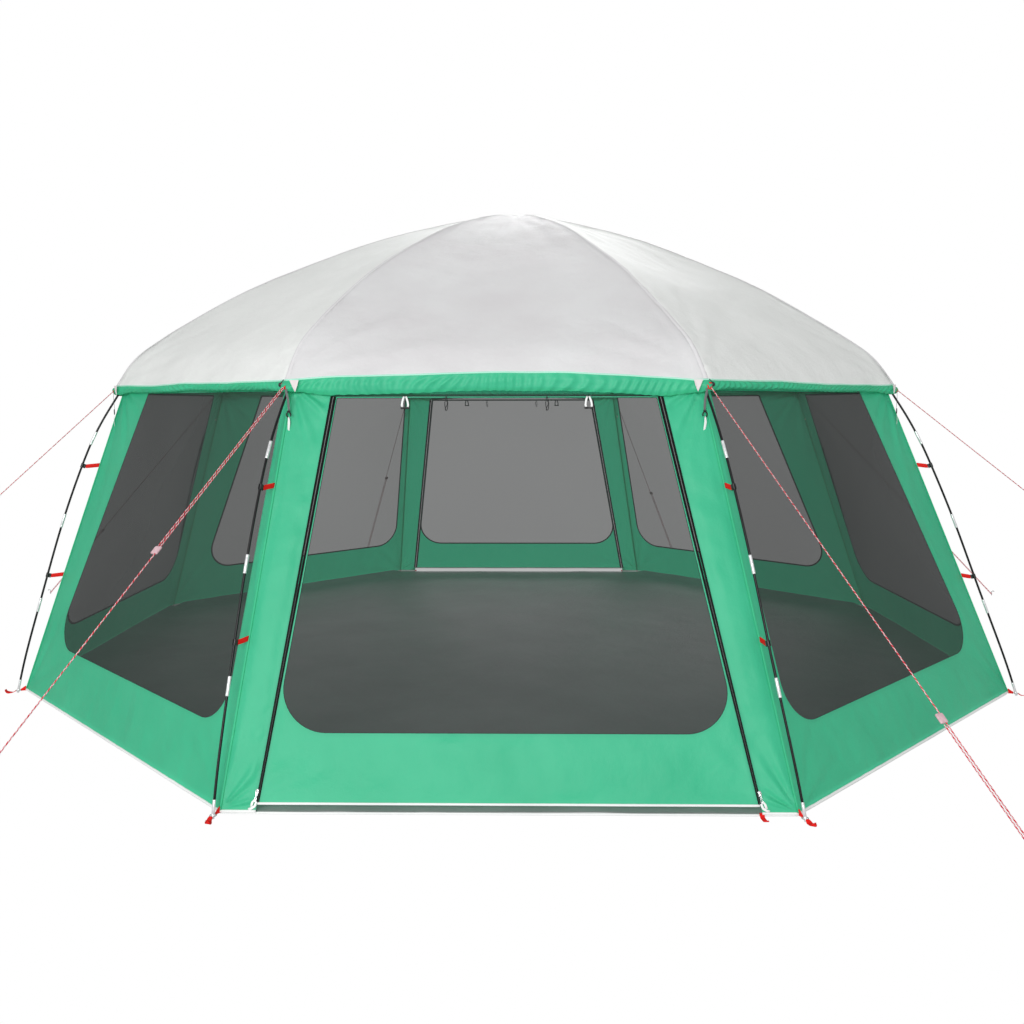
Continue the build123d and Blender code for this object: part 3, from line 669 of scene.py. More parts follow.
VX, VY = 240, 14
rows = []
for g in range(8):
    for i in range(VX):
        x = i / VX
        p0 = hem_point(g, x)
        o, t, u_ = local(CORNERS[g] + 22.5)
        ec = min(x, 1 - x) * 2 * 2.353 * S8      # distance to the corner along the hem
        out = (o * 1.0).normalized()
        if ec < 0.14:
            # turns smoothly round the corner over the arch
            cdir, _, _ = local(CORNERS[g] if x < 0.5 else CORNERS[g] + 45)
            out = (o.lerp(cdir, 1 - smooth(ec / 0.14))).normalized()
        u = (x - 0.5) * 2 * 2.353 * S8
        col = []
        for k in range(VY + 1):
            y = k / VY
            door = 1.0 if g in (0, 4) else 0.0
            drop = lerp(0.050, lerp(0.036, 0.078, door), smooth(ec / 0.20)) + 0.003 * nz(u * 3.0, g * 3.3)
            slant = 0.55 + 0.25 * nz(u * 1.3, g * 7.0)
            ph = (u + y * 0.060 * slant) / 0.047 + 1.9 * nz(u * 2.6 + g * 5.0, y * 0.7)
            fold = (0.5 + 0.5 * sin(2 * pi * ph)) ** 1.7
            amp = 0.0135 * smooth(y / 0.35) * (0.65 + 0.5 * nz(u * 4.0, 9.0 + g)) * (0.35 + 0.65 * (1 - 0.5 * y * y))
            belly = 0.005 * sin(pi * y)
            tuck = -0.004 * smooth((y - 0.8) / 0.2)
            z = p0.z - 0.004 - drop * y
            bulge = 0.016 * exp(-(ec / 0.035) ** 2) * smooth(y / 0.6)
            q = p0 + out * (0.001 + belly + tuck + amp * fold + 0.0025 * nz(u * 9, y * 3, g) + bulge)
            q.z = z + 0.0012 * sin(2 * pi * ph) * y
            col.append(q)
        rows.append(col)
rows.append(rows[0])
val = Soup()
val.grid(rows, flip=True)
# lower hem turned up inside
hem_rows = []
for col in rows:
    e, f_ = col[-1], col[-3]
    o_ = Vector((e.x - lean(e.z), e.y, 0)).normalized()
    hem_rows.append([e, e - o_ * 0.0016 + Vector((0, 0, -0.0004)), f_ - o_ * 0.0028])
val.grid(hem_rows, flip=True)
valance = val.done("valance_cloth", M["green"])
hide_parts("valance")

# ----------------------------------------------------------------------- walls
def ring_map(inner, radii, outer, counts, arc):
    """Matching points round an inner rounded outline and an outer one, corner by corner, anticlockwise."""
    n = 4
    I = [Vector((*p, 0)) for p in inner]
    O = [Vector((*p, 0)) for p in outer]
    tan_in, tan_out, centre = [], [], []
    for i in range(n):
        a, b, c_ = I[i - 1], I[i], I[(i + 1) % n]
        u, w = (a - b).normalized(), (c_ - b).normalized()
        half = u.angle(w) / 2
        r = radii[i]
        dd = r / math.tan(half)
        tan_in.append(b + u * dd)
        tan_out.append(b + w * dd)
        centre.append(b + (u + w).normalized() * (r / sin(half)))
    pin, pout = [], []
    frac = []
    for i in range(n):
        j = (i + 1) % n
        L_ = (I[j] - I[i]).length
        frac.append(((tan_out[i] - I[i]).length / L_, 1 - (tan_in[j] - I[j]).length / L_))
    for i in range(n):
        j = (i + 1) % n
        # arc of corner i
        a0, a1 = tan_in[i] - centre[i], tan_out[i] - centre[i]
        t0 = math.atan2(a0.y, a0.x)
        sweep = (math.atan2(a1.y, a1.x) - t0 + pi) % (2 * pi) - pi
        e_prev = O[i - 1].lerp(O[i], frac[i - 1][1])
        s_next = O[i].lerp(O[j], frac[i][0])
        for k in range(arc):
            f_ = k / arc
            pin.append(centre[i] + Vector((cos(t0 + sweep * f_), sin(t0 + sweep * f_), 0)) * radii[i])
            pout.append(e_prev.lerp(O[i], 2 * f_) if f_ < 0.5 else O[i].lerp(s_next, 2 * f_ - 1))
        for k in range(counts[i]):
            f_ = k / counts[i]
            pin.append(tan_out[i].lerp(tan_in[j], f_))
            pout.append(O[i].lerp(O[j], lerp(frac[i][0], frac[i][1], f_)))
    return pin, pout


def crease(u, v, seed, edges):
    """Height of the cloth off its plane: folds fanning from the corners, and soft noise."""
    h = 0.0
    for k, (cu, cv, amp, reach) in enumerate(edges):
        du, dv = u - cu, v - cv
        dist = hypot(du, dv)
        th = math.atan2(dv, du)
        f_ = sin(th * 13 + seed * 1.7 + k * 2.2) * 0.55 + sin(th * 23 + seed * 0.9 + k) * 0.35
        h += 1.5 * amp * f_ * exp(-dist / reach) * smooth(dist / 0.05)
    h += 0.0080 * nz(u * 1.7 + seed, v * 1.4, seed)
    h += 0.0055 * nz(u * 5.5 + seed, v * 4.5, seed * 1.3) + 0.0030 * nz(u * 12 + seed, v * 9 + u * 6, seed * 2.3)
    return h


def corner_edges(ul0, ul1):
    return [(-ul1, SLOPE, 0.0110, 0.26), (ul1, SLOPE, 0.0110, 0.26), (-ul0, 0.0, 0.0090, 0.24), (ul0, 0.0, 0.0090, 0.24)]


def band_pucker(u, v, seed):
    """Shallow diagonal draws in the solid band under a window."""
    if v > 0.33:
        return 0.0
    y = v / 0.30
    return 0.0075 * sin(2 * pi * (u * 1.25 + 0.35 * v / 0.3 + 0.2 * nz(u * 2 + seed, v * 3))) * nz(u * 1.1 + seed * 3, 4.0) * 2.0 * sin(pi * min(1, max(0, y)))


def inside_cloth(fr, inner, radii, outer, counts, arc, rows_n, seed, shape=None, offset=0.0, flat=0.0):
    """Rows of points from the outer edge to the window edge, in the row frame."""
    pin, pout = ring_map(inner, radii, outer, counts, arc)
    ee = corner_edges(edge_u(0), edge_u(SLOPE))
    rows = []
    for k in range(rows_n + 1):
        f_ = k / rows_n
        row = []
        for a_, b_ in zip(pout, pin):
            p = a_.lerp(b_, f_)
            dist_o = (p - a_).length
            dist_i = (p - b_).length
            w = smooth((dist_o - flat) / 0.045) * smooth(dist_i / 0.045)
            if flat:
                w *= smooth((zip_u(p.y) - flat - abs(p.x)) / 0.03)
            n_ = (crease(p.x, p.y, seed, ee) + band_pucker(p.x, p.y, seed)) * w
            if shape:
                n_ += shape(p.x, p.y)
            row.append(wp(fr, p.x, p.y, n_ + offset))
        rows.append(row)
    return rows, pin


def net_rows(fr, pin, rows_n, bow, shape=None, offset=0.0):
    cx = sum(p.x for p in pin) / len(pin)
    cy = sum(p.y for p in pin) / len(pin)
    mid = Vector((cx, cy, 0))
    rows = []
    for k in range(rows_n):
        f_ = 1 - k / rows_n
        row = []
        for p in pin:
            q = mid.lerp(p, f_)
            n_ = -bow * (1 - f_ * f_)
            if shape:
                n_ += shape(q.x, q.y)
            row.append(wp(fr, q.x, q.y, n_ + offset))
        rows.append(row)
    n_ = -bow + (shape(cx, cy) if shape else 0)
    return rows, wp(fr, cx, cy, n_ + offset)


def net_mesh(name, rows, centre_p, material, body):
    n = len(rows[0])
    verts = [p for r in rows for p in r] + [centre_p]
    faces = []
    for k in range(len(rows) - 1):
        for j in range(n):
            j2 = (j + 1) % n
            faces.append([k * n + j, k * n + j2, (k + 1) * n + j2, (k + 1) * n + j])
    last = (len(rows) - 1) * n
    for j in range(n):
        faces.append([last + j, last + (j + 1) % n, len(verts) - 1])
    o = build(name, verts, faces, material)
    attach(o, body)
    return o


def border_tape(fr, pin, width, offset, rows_scale=1.0, shape=None):
    """Tape that follows a window's edge, width towards the solid cloth."""
    n = len(pin)
    out = []
    for k, p in enumerate(pin):
        d = (pin[(k + 1) % n] - pin[k - 1]).normalized()
        m = Vector((d.y, -d.x, 0))
        s_ = shape(p.x, p.y) if shape else 0
        out.append([wp(fr, p.x - m.x * 0.002, p.y - m.y * 0.002, offset + s_), wp(fr, p.x - m.x * 0.002, p.y - m.y * 0.002, offset + s_ - 0.0009),
                    wp(fr, p.x + m.x * width, p.y + m.y * width, offset + s_ - 0.0009), wp(fr, p.x + m.x * width, p.y + m.y * width, offset + s_)])
    out.append(out[0])
    return out


FIXED = {"front_left": (-45, 1), "left": (-90, 0), "back_left": (-135, -1),
         "back_right": (135, 1), "right": (90, 0), "front_right": (45, -1)}


def window_corners(kind):
    b0, b1 = edge_u(SILL), edge_u(WIN_TOP)
    if kind == 0:
        lo, hi = (b0 - 0.200, b0 - 0.200), (b1 - 0.210, b1 - 0.210)
    else:
        lo, hi = (b0 - 0.195, b0 - 0.085), (b1 - 0.330, b1 - 0.055)
        if kind < 0:
            lo, hi = lo[::-1], hi[::-1]
    return [(-lo[0], SILL), (lo[1], SILL), (hi[1], WIN_TOP), (-hi[0], WIN_TOP)]


tapes = Soup()
for k_, (name, (ang, kind)) in enumerate(FIXED.items()):
    fr = wall_frame(ang)
    outer = [(-edge_u(0), 0.0), (edge_u(0), 0.0), (edge_u(SLOPE), SLOPE), (-edge_u(SLOPE), SLOPE)]
    inner = window_corners(kind)
    rows, pin = inside_cloth(fr, inner, [WIN_R, WIN_R, 0.008, 0.008], outer, [110, 90, 70, 90], 14, 18, 3.1 + k_ * 5.7)
    soup = Soup()
    soup.grid(rows, wrap=True)
    wall = soup.done(f"wall_{name}_cloth", M["green"])
    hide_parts(f"wall_{name}")
    pin_n = pin
    nr, nc = net_rows(fr, pin_n, 10, 0.012)
    net_mesh(f"window_net_{name}", nr, nc, M["net"], ROOT)
    tapes.grid(border_tape(fr, pin, 0.010, -0.0012), wrap=False)
window_tapes = tapes.done("window_edge_tapes", M["green_dark"])
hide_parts("window_meshes")

# front and back: posts, header, door leaf
hem = Soup()
LEAF_BODY = {"front": "front_door_leaf", "back": "back_door_leaf"}
for name, ang in (("front", 0), ("back", 180)):
    fr = wall_frame(ang)
    seed = 2.2 if name == "front" else 8.8
    ee = corner_edges(edge_u(0), edge_u(SLOPE))
    for sgn in (-1, 1):
        soup = Soup()
        rows = []
        NV, NU = 420, 16
        for i in range(NV + 1):
            v = SLOPE * i / NV
            vz = min(v, DOOR_V1)
            a_, b_ = zip_u(vz) + GAP, edge_u(v)
            row = []
            for j in range(NU + 1):
                u = lerp(a_, b_, j / NU)
                w = smooth((b_ - u) / 0.03) * smooth((u - a_ - 0.013) / 0.03) * smooth(v / 0.03)
                n_ = crease(sgn * u, v, seed + sgn * 3, ee) * w
                n_ += 0.008 * smooth((u - a_ - 0.013) / 0.05) * smooth((b_ - u) / 0.05) * sin(pi * i / NV)
                n_ += 0.0024 * sin(v / 0.021 + 2.2 * nz(v * 6, seed + sgn)) * exp(-((u - a_ - 0.035) / 0.030) ** 2) * smooth((u - a_ - 0.013) / 0.012) * (0.55 + nz(v * 1.9, seed + sgn * 2))
                row.append(wp(fr, sgn * u, v, n_))
            rows.append(row)
        soup.grid(rows, flip=(sgn > 0))
        w_ = soup.done(f"wall_{name}_post_{'left' if sgn < 0 else 'right'}", M["green"])
        if sgn < 0:
            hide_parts(f"wall_{name}")
    # header between the zips, behind the valance: a strip of the same netting
    soup = Soup()
    rows = []
    for i in range(7):
        v = lerp(DOOR_V1 + 0.0, SLOPE, i / 6)
        rows.append([wp(fr, lerp(-zip_u(DOOR_V1), zip_u(DOOR_V1), j / 60), v, 0.0006 * sin(j * 0.9) * sin(pi * i / 6)) for j in range(61)])
    soup.grid(rows)
    w_ = soup.done(f"wall_{name}_header", M["net"])
    # leaf
    body = LEAF_BODY[name]
    b0, h0 = DOOR_V0, DOOR_V1 - 0.003
    outer = [(-(zip_u(b0) - GAP), b0), (zip_u(b0) - GAP, b0), (zip_u(h0) - GAP, h0), (-(zip_u(h0) - GAP), h0)]
    w1 = DOOR_V1 - 0.007
    inner = [(-(zip_u(SILL) - GAP - TAPE), SILL), (zip_u(SILL) - GAP - TAPE, SILL), (zip_u(w1) - GAP - TAPE, w1), (-(zip_u(w1) - GAP - TAPE), w1)]
    arch = lambda u, v: 0.0
    rows, pin = inside_cloth(fr, inner, [WIN_R, WIN_R, 0.006, 0.006], outer, [120, 90, 70, 90], 14, 18, seed + 1.0, flat=0.014)
    soup = Soup()
    soup.grid(rows, wrap=True)
    leaf = soup.done(f"{name}_door_cloth", M["green"], body)
    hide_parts(f"{name}_door")
    nr, nc = net_rows(fr, pin, 10, 0.010)
    net = net_mesh(f"{name}_door_net", nr, nc, M["net"], body)
    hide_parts(f"{name}_door_mesh")
    tp = Soup()
    tp.grid(border_tape(fr, pin, 0.010, -0.0012))
    tp.done(f"{name}_door_net_tape", M["green_dark"], body)
    # white hem binding of the leaf
    hb = Soup()
    path = [wp(fr, lerp(-(zip_u(b0) - GAP), zip_u(b0) - GAP, k / 120), b0 + 0.001, 0.0012 * sin(k * 0.21 + seed)) for k in range(121)]
    hb.tube(path, 0.0052, 8)
    hb.done(f"{name}_door_hem_binding", M["white"], body)
    # zip tapes and coils, fixed half and leaf half
    for half, bd, sg in (("fixed", ROOT, 1), ("leaf", body, -1)):
        tz = Soup()
        for sgn in (-1, 1):
            rows = []
            for i in range(101):
                v = lerp(0.028, DOOR_V1 - (0.004 if half == "leaf" else 0.0), i / 100)
                c0 = zip_u(v) + sg * GAP
                c1 = c0 + sg * TAPE * lerp(0.36, 0.80, v / DOOR_V1)
                c2 = c0 + sg * TAPE
                row = []
                for uu, nn in ((c2, -0.0013), (c0, -0.0013), (c0, 0.0021), (lerp(c0, c1, .96), 0.0020), (c1, 0.0012), (c1, 0.0006)):
                    row.append(wp(fr, sgn * uu, v, nn))
                rows.append(row)
            tz.grid(rows, 0, flip=(sgn * sg > 0))
            # coil: a row of loops beside the opening
            rings = []
            n_c = 640
            for i in range(n_c + 1):
                v = lerp(0.034, DOOR_V1 - 0.012, i / n_c)
                cc = zip_u(v) + sg * (GAP + 0.0012)
                rr = 0.0019 * (1.0 + 0.28 * sin(i * pi))
                rr = 0.0016 if i % 2 else 0.0021
                rings.append([wp(fr, sgn * (cc + rr * cos(2 * pi * j / 6)), v, 0.0030 + rr * sin(2 * pi * j / 6)) for j in range(6)])
            tz.grid(rings, 1, wrap=True, flip=(sgn < 0))
        nm = f"{name}_zip_{half}_half"
        oz = tz.done(nm, [M["zip"], M["coil"]], bd)
        if half == "leaf":
            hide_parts(f"{name}_door_zip_tapes")
        elif name == "front":
            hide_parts("zip_tapes_fixed")
    # binding along the feet of the posts
    for sgn in (-1, 1):
        path = [wp(fr, sgn * lerp(zip_u(0) + GAP, edge_u(0), k / 12), -0.003, 0) for k in range(13)]
        hem.tube(path, 0.0055, 8)
for k_, (name, (ang, kind)) in enumerate(FIXED.items()):
    fr = wall_frame(ang)
    path = [wp(fr, lerp(-edge_u(0), edge_u(0), k / 140), -0.003 + 0.0012 * nz(k * 0.3, k_ * 9.0), 0.0015 * nz(k * 0.21, 3 + k_ * 4.0)) for k in range(141)]
    hem.tube(path, 0.0055, 8)
hem_o = hem.done("wall_hem_bindings", M["white"])
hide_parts("hem_bindings")

# corner seams: a narrow raised seam down each corner of the walls
cs = Soup()
for ang in CORNERS:
    pts = [at(ang, wall_r(z) + 0.0015, z, 0, WALL_LEAN * z / WALL_Z1) for z in [lerp(WALL_Z0, WALL_Z1 + 0.01, k / 60) for k in range(61)]]
    o, t, _ = local(ang)
    cs.strap(pts, 0.006, t, 0.010)
cs.done("corner_seams", M["green"])

# ----------------------------------------------------------------------- floor
rows = []
NF = 60
for k in range(46):
    f_ = k / 45
    row = []
    for g in range(8):
        for i in range(NF):
            a_, b_ = at(CORNERS[g], 2.945, 0), at(CORNERS[g] + 45, 2.945, 0)
            p = a_.lerp(b_, i / NF) * (1 - f_ * 0.999)
            rr = p.length
            z = 0.004 + 0.006 * max(0, nz(p.x * 1.6, p.y * 1.6, 2.0)) + 0.004 * max(0, nz(p.x * 4.6 + 3, p.y * 3.9, 6.0))
            near = min(i, NF - i) / NF
            z += (0.006 if g in (0, 4) else 0.006 + 0.022 * smooth(near / 0.04)) * smooth(1 - f_ * 30)
            row.append(Vector((p.x, p.y, z)))
    rows.append(row)
fl = Soup()
fl.grid(rows, wrap=True)
floor_o = fl.done("groundsheet_cloth", M["floor"])
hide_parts("floor")
fb = Soup()
ring = []
for g in range(8):
    for i in range(60):
        a_, b_ = at(CORNERS[g], 2.947, 0), at(CORNERS[g] + 45, 2.947, 0)
        p = a_.lerp(b_, i / 60)
        p.z = 0.0065 + 0.0015 * nz(p.x * 3, p.y * 3)
        ring.append(p)
rws = []
for k in range(len(ring)):
    d = (ring[(k + 1) % len(ring)] - ring[k - 1]).normalized()
    o_ = Vector((d.y, -d.x, 0))
    rws.append([ring[k] + o_ * (0.005 * cos(2 * pi * j / 8)) + Vector((0, 0, 0.005 * sin(2 * pi * j / 8))) for j in range(8)])
rws.append(rws[0])
fb.grid(rws, wrap=True)
fb.done("groundsheet_binding", M["white"])

# ----------------------------------------------------------------------- poles
def pole_dir(ang, s, drop=0.0):
    return (arch_point(ang, s + 0.002, drop) - arch_point(ang, s - 0.002, drop)).normalized()


TIP_L, FERR_L = 0.074, 0.079
fer, tips = Soup(), Soup()
for k in range(4):
    ang = CORNERS[k] + 180
    drop = -0.047 + 0.013 * k
    n = 360
    pts = [arch_point(ang, lerp(TIP_L - 0.01, ARCH_L - TIP_L + 0.01, i / n), drop) for i in range(n + 1)]
    sp_ = Soup()
    sp_.tube(pts, 0.0055, 16)
    po = sp_.done(f"arch_{k + 1}_rod", M["pole"])
    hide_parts(f"arch_pole_{k + 1}")
    joints = [0.512 + 0.494 * i for i in range(8)]
    for s in joints + [ARCH_L - j for j in joints]:
        c_, d = arch_point(ang, s, drop), pole_dir(ang, s, drop)
        h = FERR_L / 2
        fer.revolve(c_ - d * h, d, [(0, 0.0056), (0.0004, 0.0064), (0.0016, 0.0070), (0.010, 0.0070), (0.0108, 0.0068), (0.0116, 0.0070),
                                    (FERR_L - 0.0116, 0.0070), (FERR_L - 0.0108, 0.0068), (FERR_L - 0.010, 0.0070),
                                    (FERR_L - 0.0016, 0.0070), (FERR_L - 0.0004, 0.0064), (FERR_L, 0.0056)], 18)
    for s, e in ((TIP_L, 0.0), (ARCH_L - TIP_L, ARCH_L)):
        a_, b_ = arch_point(ang, e, drop), arch_point(ang, s, drop)
        d = (b_ - a_).normalized()
        L_ = (b_ - a_).length
        tips.revolve(a_, d, [(0, 0.0040), (0.0006, 0.0054), (0.0022, 0.0064), (0.0040, 0.0065), (0.0200, 0.0065), (0.0208, 0.0061), (0.0216, 0.0065),
                             (L_ - 0.0100, 0.0065), (L_ - 0.0092, 0.0063), (L_ - 0.0084, 0.0065), (L_ - 0.001, 0.0065), (L_, 0.0058)], 18)
fo = fer.done("pole_joint_ferrules", M["ferrule"], auto=35)
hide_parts("pole_ferrules")
to = tips.done("pole_foot_tips", M["ferrule"], auto=35)
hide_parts("pole_tips")

# ---------------------------------------------------------- clips and webbing
clips, web, rings_s, hooks, patches, greys, tails = Soup(), Soup(), Soup(), Soup(), Soup(), Soup(), Soup()


def open_ring(soup, c_, axis, face, r_out, r_in, half, gap, sides=28, index=0, chamfer=0.0008):
    """C-shaped ring: axis through the bore, face the side that is open."""
    axis = axis.normalized()
    x = (face - axis * face.dot(axis)).normalized()
    y = axis.cross(x)
    g = radians(gap)
    rows = []
    for lvl in (-1, 1):
        pass
    def sec(a, ro, ri, h, ch):
        e = x * cos(a) + y * sin(a)
        return [c_ + e * ri + axis * (-h + ch), c_ + e * (ri + ch) - axis * h, c_ + e * (ro - ch) - axis * h, c_ + e * ro + axis * (-h + ch),
                c_ + e * ro + axis * (h - ch), c_ + e * (ro - ch) + axis * h, c_ + e * (ri + ch) + axis * h, c_ + e * ri + axis * (h - ch)]
    for i in range(sides + 1):
        a = lerp(g, 2 * pi - g, i / sides)
        f_ = min(i, sides - i)
        k_ = 0.86 if f_ == 0 else 1.0
        mid = (r_out + r_in) / 2
        rows.append(sec(a, mid + (r_out - mid) * k_, mid - (mid - r_in) * k_, half * (0.97 if f_ == 0 else 1), chamfer))
    k0 = len(soup.v)
    soup.grid(rows, index, wrap=True)
    soup.f += [[k0 + j for j in range(8)][::-1], [k0 + sides * 8 + j for j in range(8)]]
    soup.i += [index, index]


def block(soup, c_, ex, ey, ez, hx, hy, hz, r=0.001, index=0):
    """Box with chamfered edges."""
    pts = []
    for lz, rr in ((-hz, r), (-hz + r, 0), (hz - r, 0), (hz, r)):
        ring = []
        for sx, sy in ((1, 1), (-1, 1), (-1, -1), (1, -1)):
            ax, ay = hx - rr, hy - rr
            if sx * sy > 0:
                ring += [c_ + ex * (sx * ax) + ey * (sy * (ay - r)) + ez * lz, c_ + ex * (sx * (ax - r)) + ey * (sy * ay) + ez * lz]
            else:
                ring += [c_ + ex * (sx * (ax - r)) + ey * (sy * ay) + ez * lz, c_ + ex * (sx * ax) + ey * (sy * (ay - r)) + ez * lz]
        pts.append(ring)
    k0 = len(soup.v)
    soup.grid(pts, index, wrap=True)
    soup.f += [[k0 + j for j in range(8)][::-1], [k0 + 24 + j for j in range(8)]]
    soup.i += [index, index]


for k_, (ang, name) in enumerate(zip(CORNERS, NAMES)):
    o, t, up_ = local(ang)
    sg = 1 if ang < 0 else -1                       # left and right halves of the tent mirror each other
    for z in (0.655, 1.263):
        s = pole_s(z)
        c_, d = arch_point(ang, s, 0), pole_dir(ang, s)
        open_ring(clips, c_, d, o, 0.0090, 0.0059, 0.012, 26)
        oo = (o - d * o.dot(d)).normalized()
        block(clips, c_ - oo * 0.0118, oo, t, d, 0.0034, 0.0022, 0.0118, 0.0008)
        # slot bar that the webbing goes round
        block(clips, c_ - oo * 0.0165, oo, t, d, 0.0016, 0.0030, 0.0122, 0.0008)
        # webbing, folded round the bar, sewn to the seam
        a_ = at(ang, wall_r(z) + 0.0015, z, 0, WALL_LEAN * z / WALL_Z1)
        b_ = c_ - oo * 0.0165
        pts = [a_.lerp(b_, i / 8) + t * (0.0012 * sin(pi * i / 8)) for i in range(9)]
        web.strap(pts, [0.0215] * 7 + [0.0205, 0.020], t, 0.0022)
    # foot: triangle of webbing from the corner of the cloth to the ring
    pts = [at(ang, lerp(2.953, 2.9835, i / 8), lerp(0.024, 0.0155, i / 8), 0.0006 * sin(i)) for i in range(9)]
    web.strap(pts, [lerp(0.027, 0.0125, smooth(i / 8)) for i in range(9)], t, 0.0024)
    # ring
    cr_ = at(ang, 2.995, 0.015)
    rr = []
    for i in range(40):
        a = 2 * pi * i / 40
        e = o * cos(a) + t * sin(a)
        rr.append([cr_ + e * (0.0125 + 0.0018 * cos(2 * pi * j / 10)) + up_ * (0.0018 * sin(2 * pi * j / 10)) for j in range(10)])
    rr.append(rr[0])
    rings_s.grid(rr, wrap=True)
    # pegging loop, lying loose beyond the foot, its end turned up
    bias = (0.75, -0.25, 0.2, -0.25, 0.3, -0.2, 0.25, -0.3)[k_]
    path = [(3.0075, 0.0155, 0.0), (3.014, 0.0110, 0.0), (3.022, 0.0070, 0.10), (3.032, 0.0058, 0.35), (3.043, 0.0058, 0.75),
            (3.052, 0.0085, 1.0), (3.0580, 0.0150, 1.12), (3.0600, 0.0240, 1.18)]
    pts = [at(ang, r, z, bias * 0.030 * q) for r, z, q in path]
    fine = []
    for i in range(len(pts) - 1):
        p0, p1, p2, p3 = pts[max(i - 1, 0)], pts[i], pts[i + 1], pts[min(i + 2, len(pts) - 1)]
        for j in range(5):
            u = j / 5
            fine.append(p1 * 1.0 + ((p2 - p0) * u + (p0 * 2 - p1 * 5 + p2 * 4 - p3) * u * u + (p1 * 3 - p0 - p2 * 3 + p3) * u ** 3) * 0.5)
    fine.append(pts[-1])
    nrm = []
    for i, p in enumerate(fine):
        dd = (fine[min(i + 1, len(fine) - 1)] - fine[max(i - 1, 0)]).normalized()
        side = dd.cross(Vector((0, 0, 1)))
        side = t if side.length < 0.2 else side.normalized()
        nn = side.cross(dd).normalized()
        tw = 0.4 * sin(i * 0.16 + k_) * smooth(i / 12)
        nrm.append(nn * cos(tw) + side * sin(tw) * 0.6)
    web.strap(fine, [0.0145 + 0.0105 * sin(pi * i / len(fine)) ** 0.6 for i in range(len(fine))], nrm, 0.0028)
    # eave: the loop that the guy rope passes through
    lp = []
    for i in range(21):
        a = lerp(-1.25, 1.25, i / 20) * pi / 2
        lp.append(at(ang, 2.3575 + 0.0235 * cos(a) * 1.0, 1.6745 + 0.001 * sin(3 * a), 0.0) + t * (0.0) + up_ * 0)
    pts = []
    for i in range(25):
        a = lerp(-pi * 0.62, pi * 0.62, i / 24)
        pts.append(at(ang, 2.3635 + 0.0150 * cos(a), 1.6740 + 0.0105 * sin(a)))
    web.strap(pts, 0.0195, [(p - at(ang, 2.3635, 1.6740)).normalized() for p in pts], 0.0022)
    # a short tail of the same webbing under the hem
    pts = [at(ang, 2.3655 + 0.012 * sin(i / 6 * 1.7), 1.694 - 0.030 * i / 6, sg * (-0.013 + 0.010 * i / 6)) for i in range(7)]
    web.strap(pts, 0.014, o, 0.0020)
    # ball end of the shock cord that pulls the roof down
    hooks.revolve(at(ang, 2.361, 1.6860 - 0.0105, -0.026 * sg), up_, [(0.0105 - 0.0105 * cos(pi * i / 12) * 1.0, max(0.0004, 0.0105 * sin(pi * i / 12))) for i in range(13)], 18)
    pts = [at(ang, 2.361 - 0.001 * i, 1.694 + 0.0035 * i, -sg * (0.026 - 0.0035 * i)) for i in range(5)]
    hooks.tube(pts, 0.0016, 8)
    # hanging tape with its open hook and the white pull tab
    tt = sg * 0.022
    pts = [at(ang, 2.3765 + 0.0016 * sin(i / 10 * 4), lerp(1.668, 1.574, i / 10), lerp(sg * 0.012, tt, smooth(i / 6))) for i in range(11)]
    greys.strap(pts, 0.0115, o, 0.0018)
    hk = at(ang, 2.378, 1.558, tt)
    open_ring(hooks, hk, o, -up_ * 0.9 + t * (0.5 * sg), 0.0130, 0.0087, 0.0029, 24, 26)
    block(hooks, hk + up_ * 0.0146, t, o, up_, 0.0078, 0.0026, 0.0024, 0.0007)
    pts = [at(ang, 2.3798 + 0.002 * sin(i / 8 * 3), 1.549 - 0.070 * i / 8, tt + sg * 0.0016 * i / 8 + 0.002 * sin(i * 0.7)) for i in range(9)]
    tails.strap(pts, [0.0050, 0.0085, 0.0110, 0.0120, 0.0118, 0.0112, 0.0100, 0.0080, 0.0040], o, 0.0020)
    # triangular reinforcement at the upper corner, hanging from the roof hem over the gathered strip
    wa = ang + 22.5 * sg
    ow, tw_, _ = local(wa)
    rws = []
    for i in range(9):
        f_ = i / 8
        row = []
        for j in range(9):
            ec = lerp(0.018 + 0.022 * f_, 0.058 - 0.006 * f_, j / 8)
            zz = 1.706 - 0.052 * f_ * (1 - 0.55 * (j / 8))
            base = at(ang, 2.353, zz) + tw_ * (sg * ec)
            row.append(base + ow * (0.027 + 0.0015 * sin(3 * f_ + j * 0.7)))
        rws.append(row)
    patches.grid(rws, flip=(sg > 0))
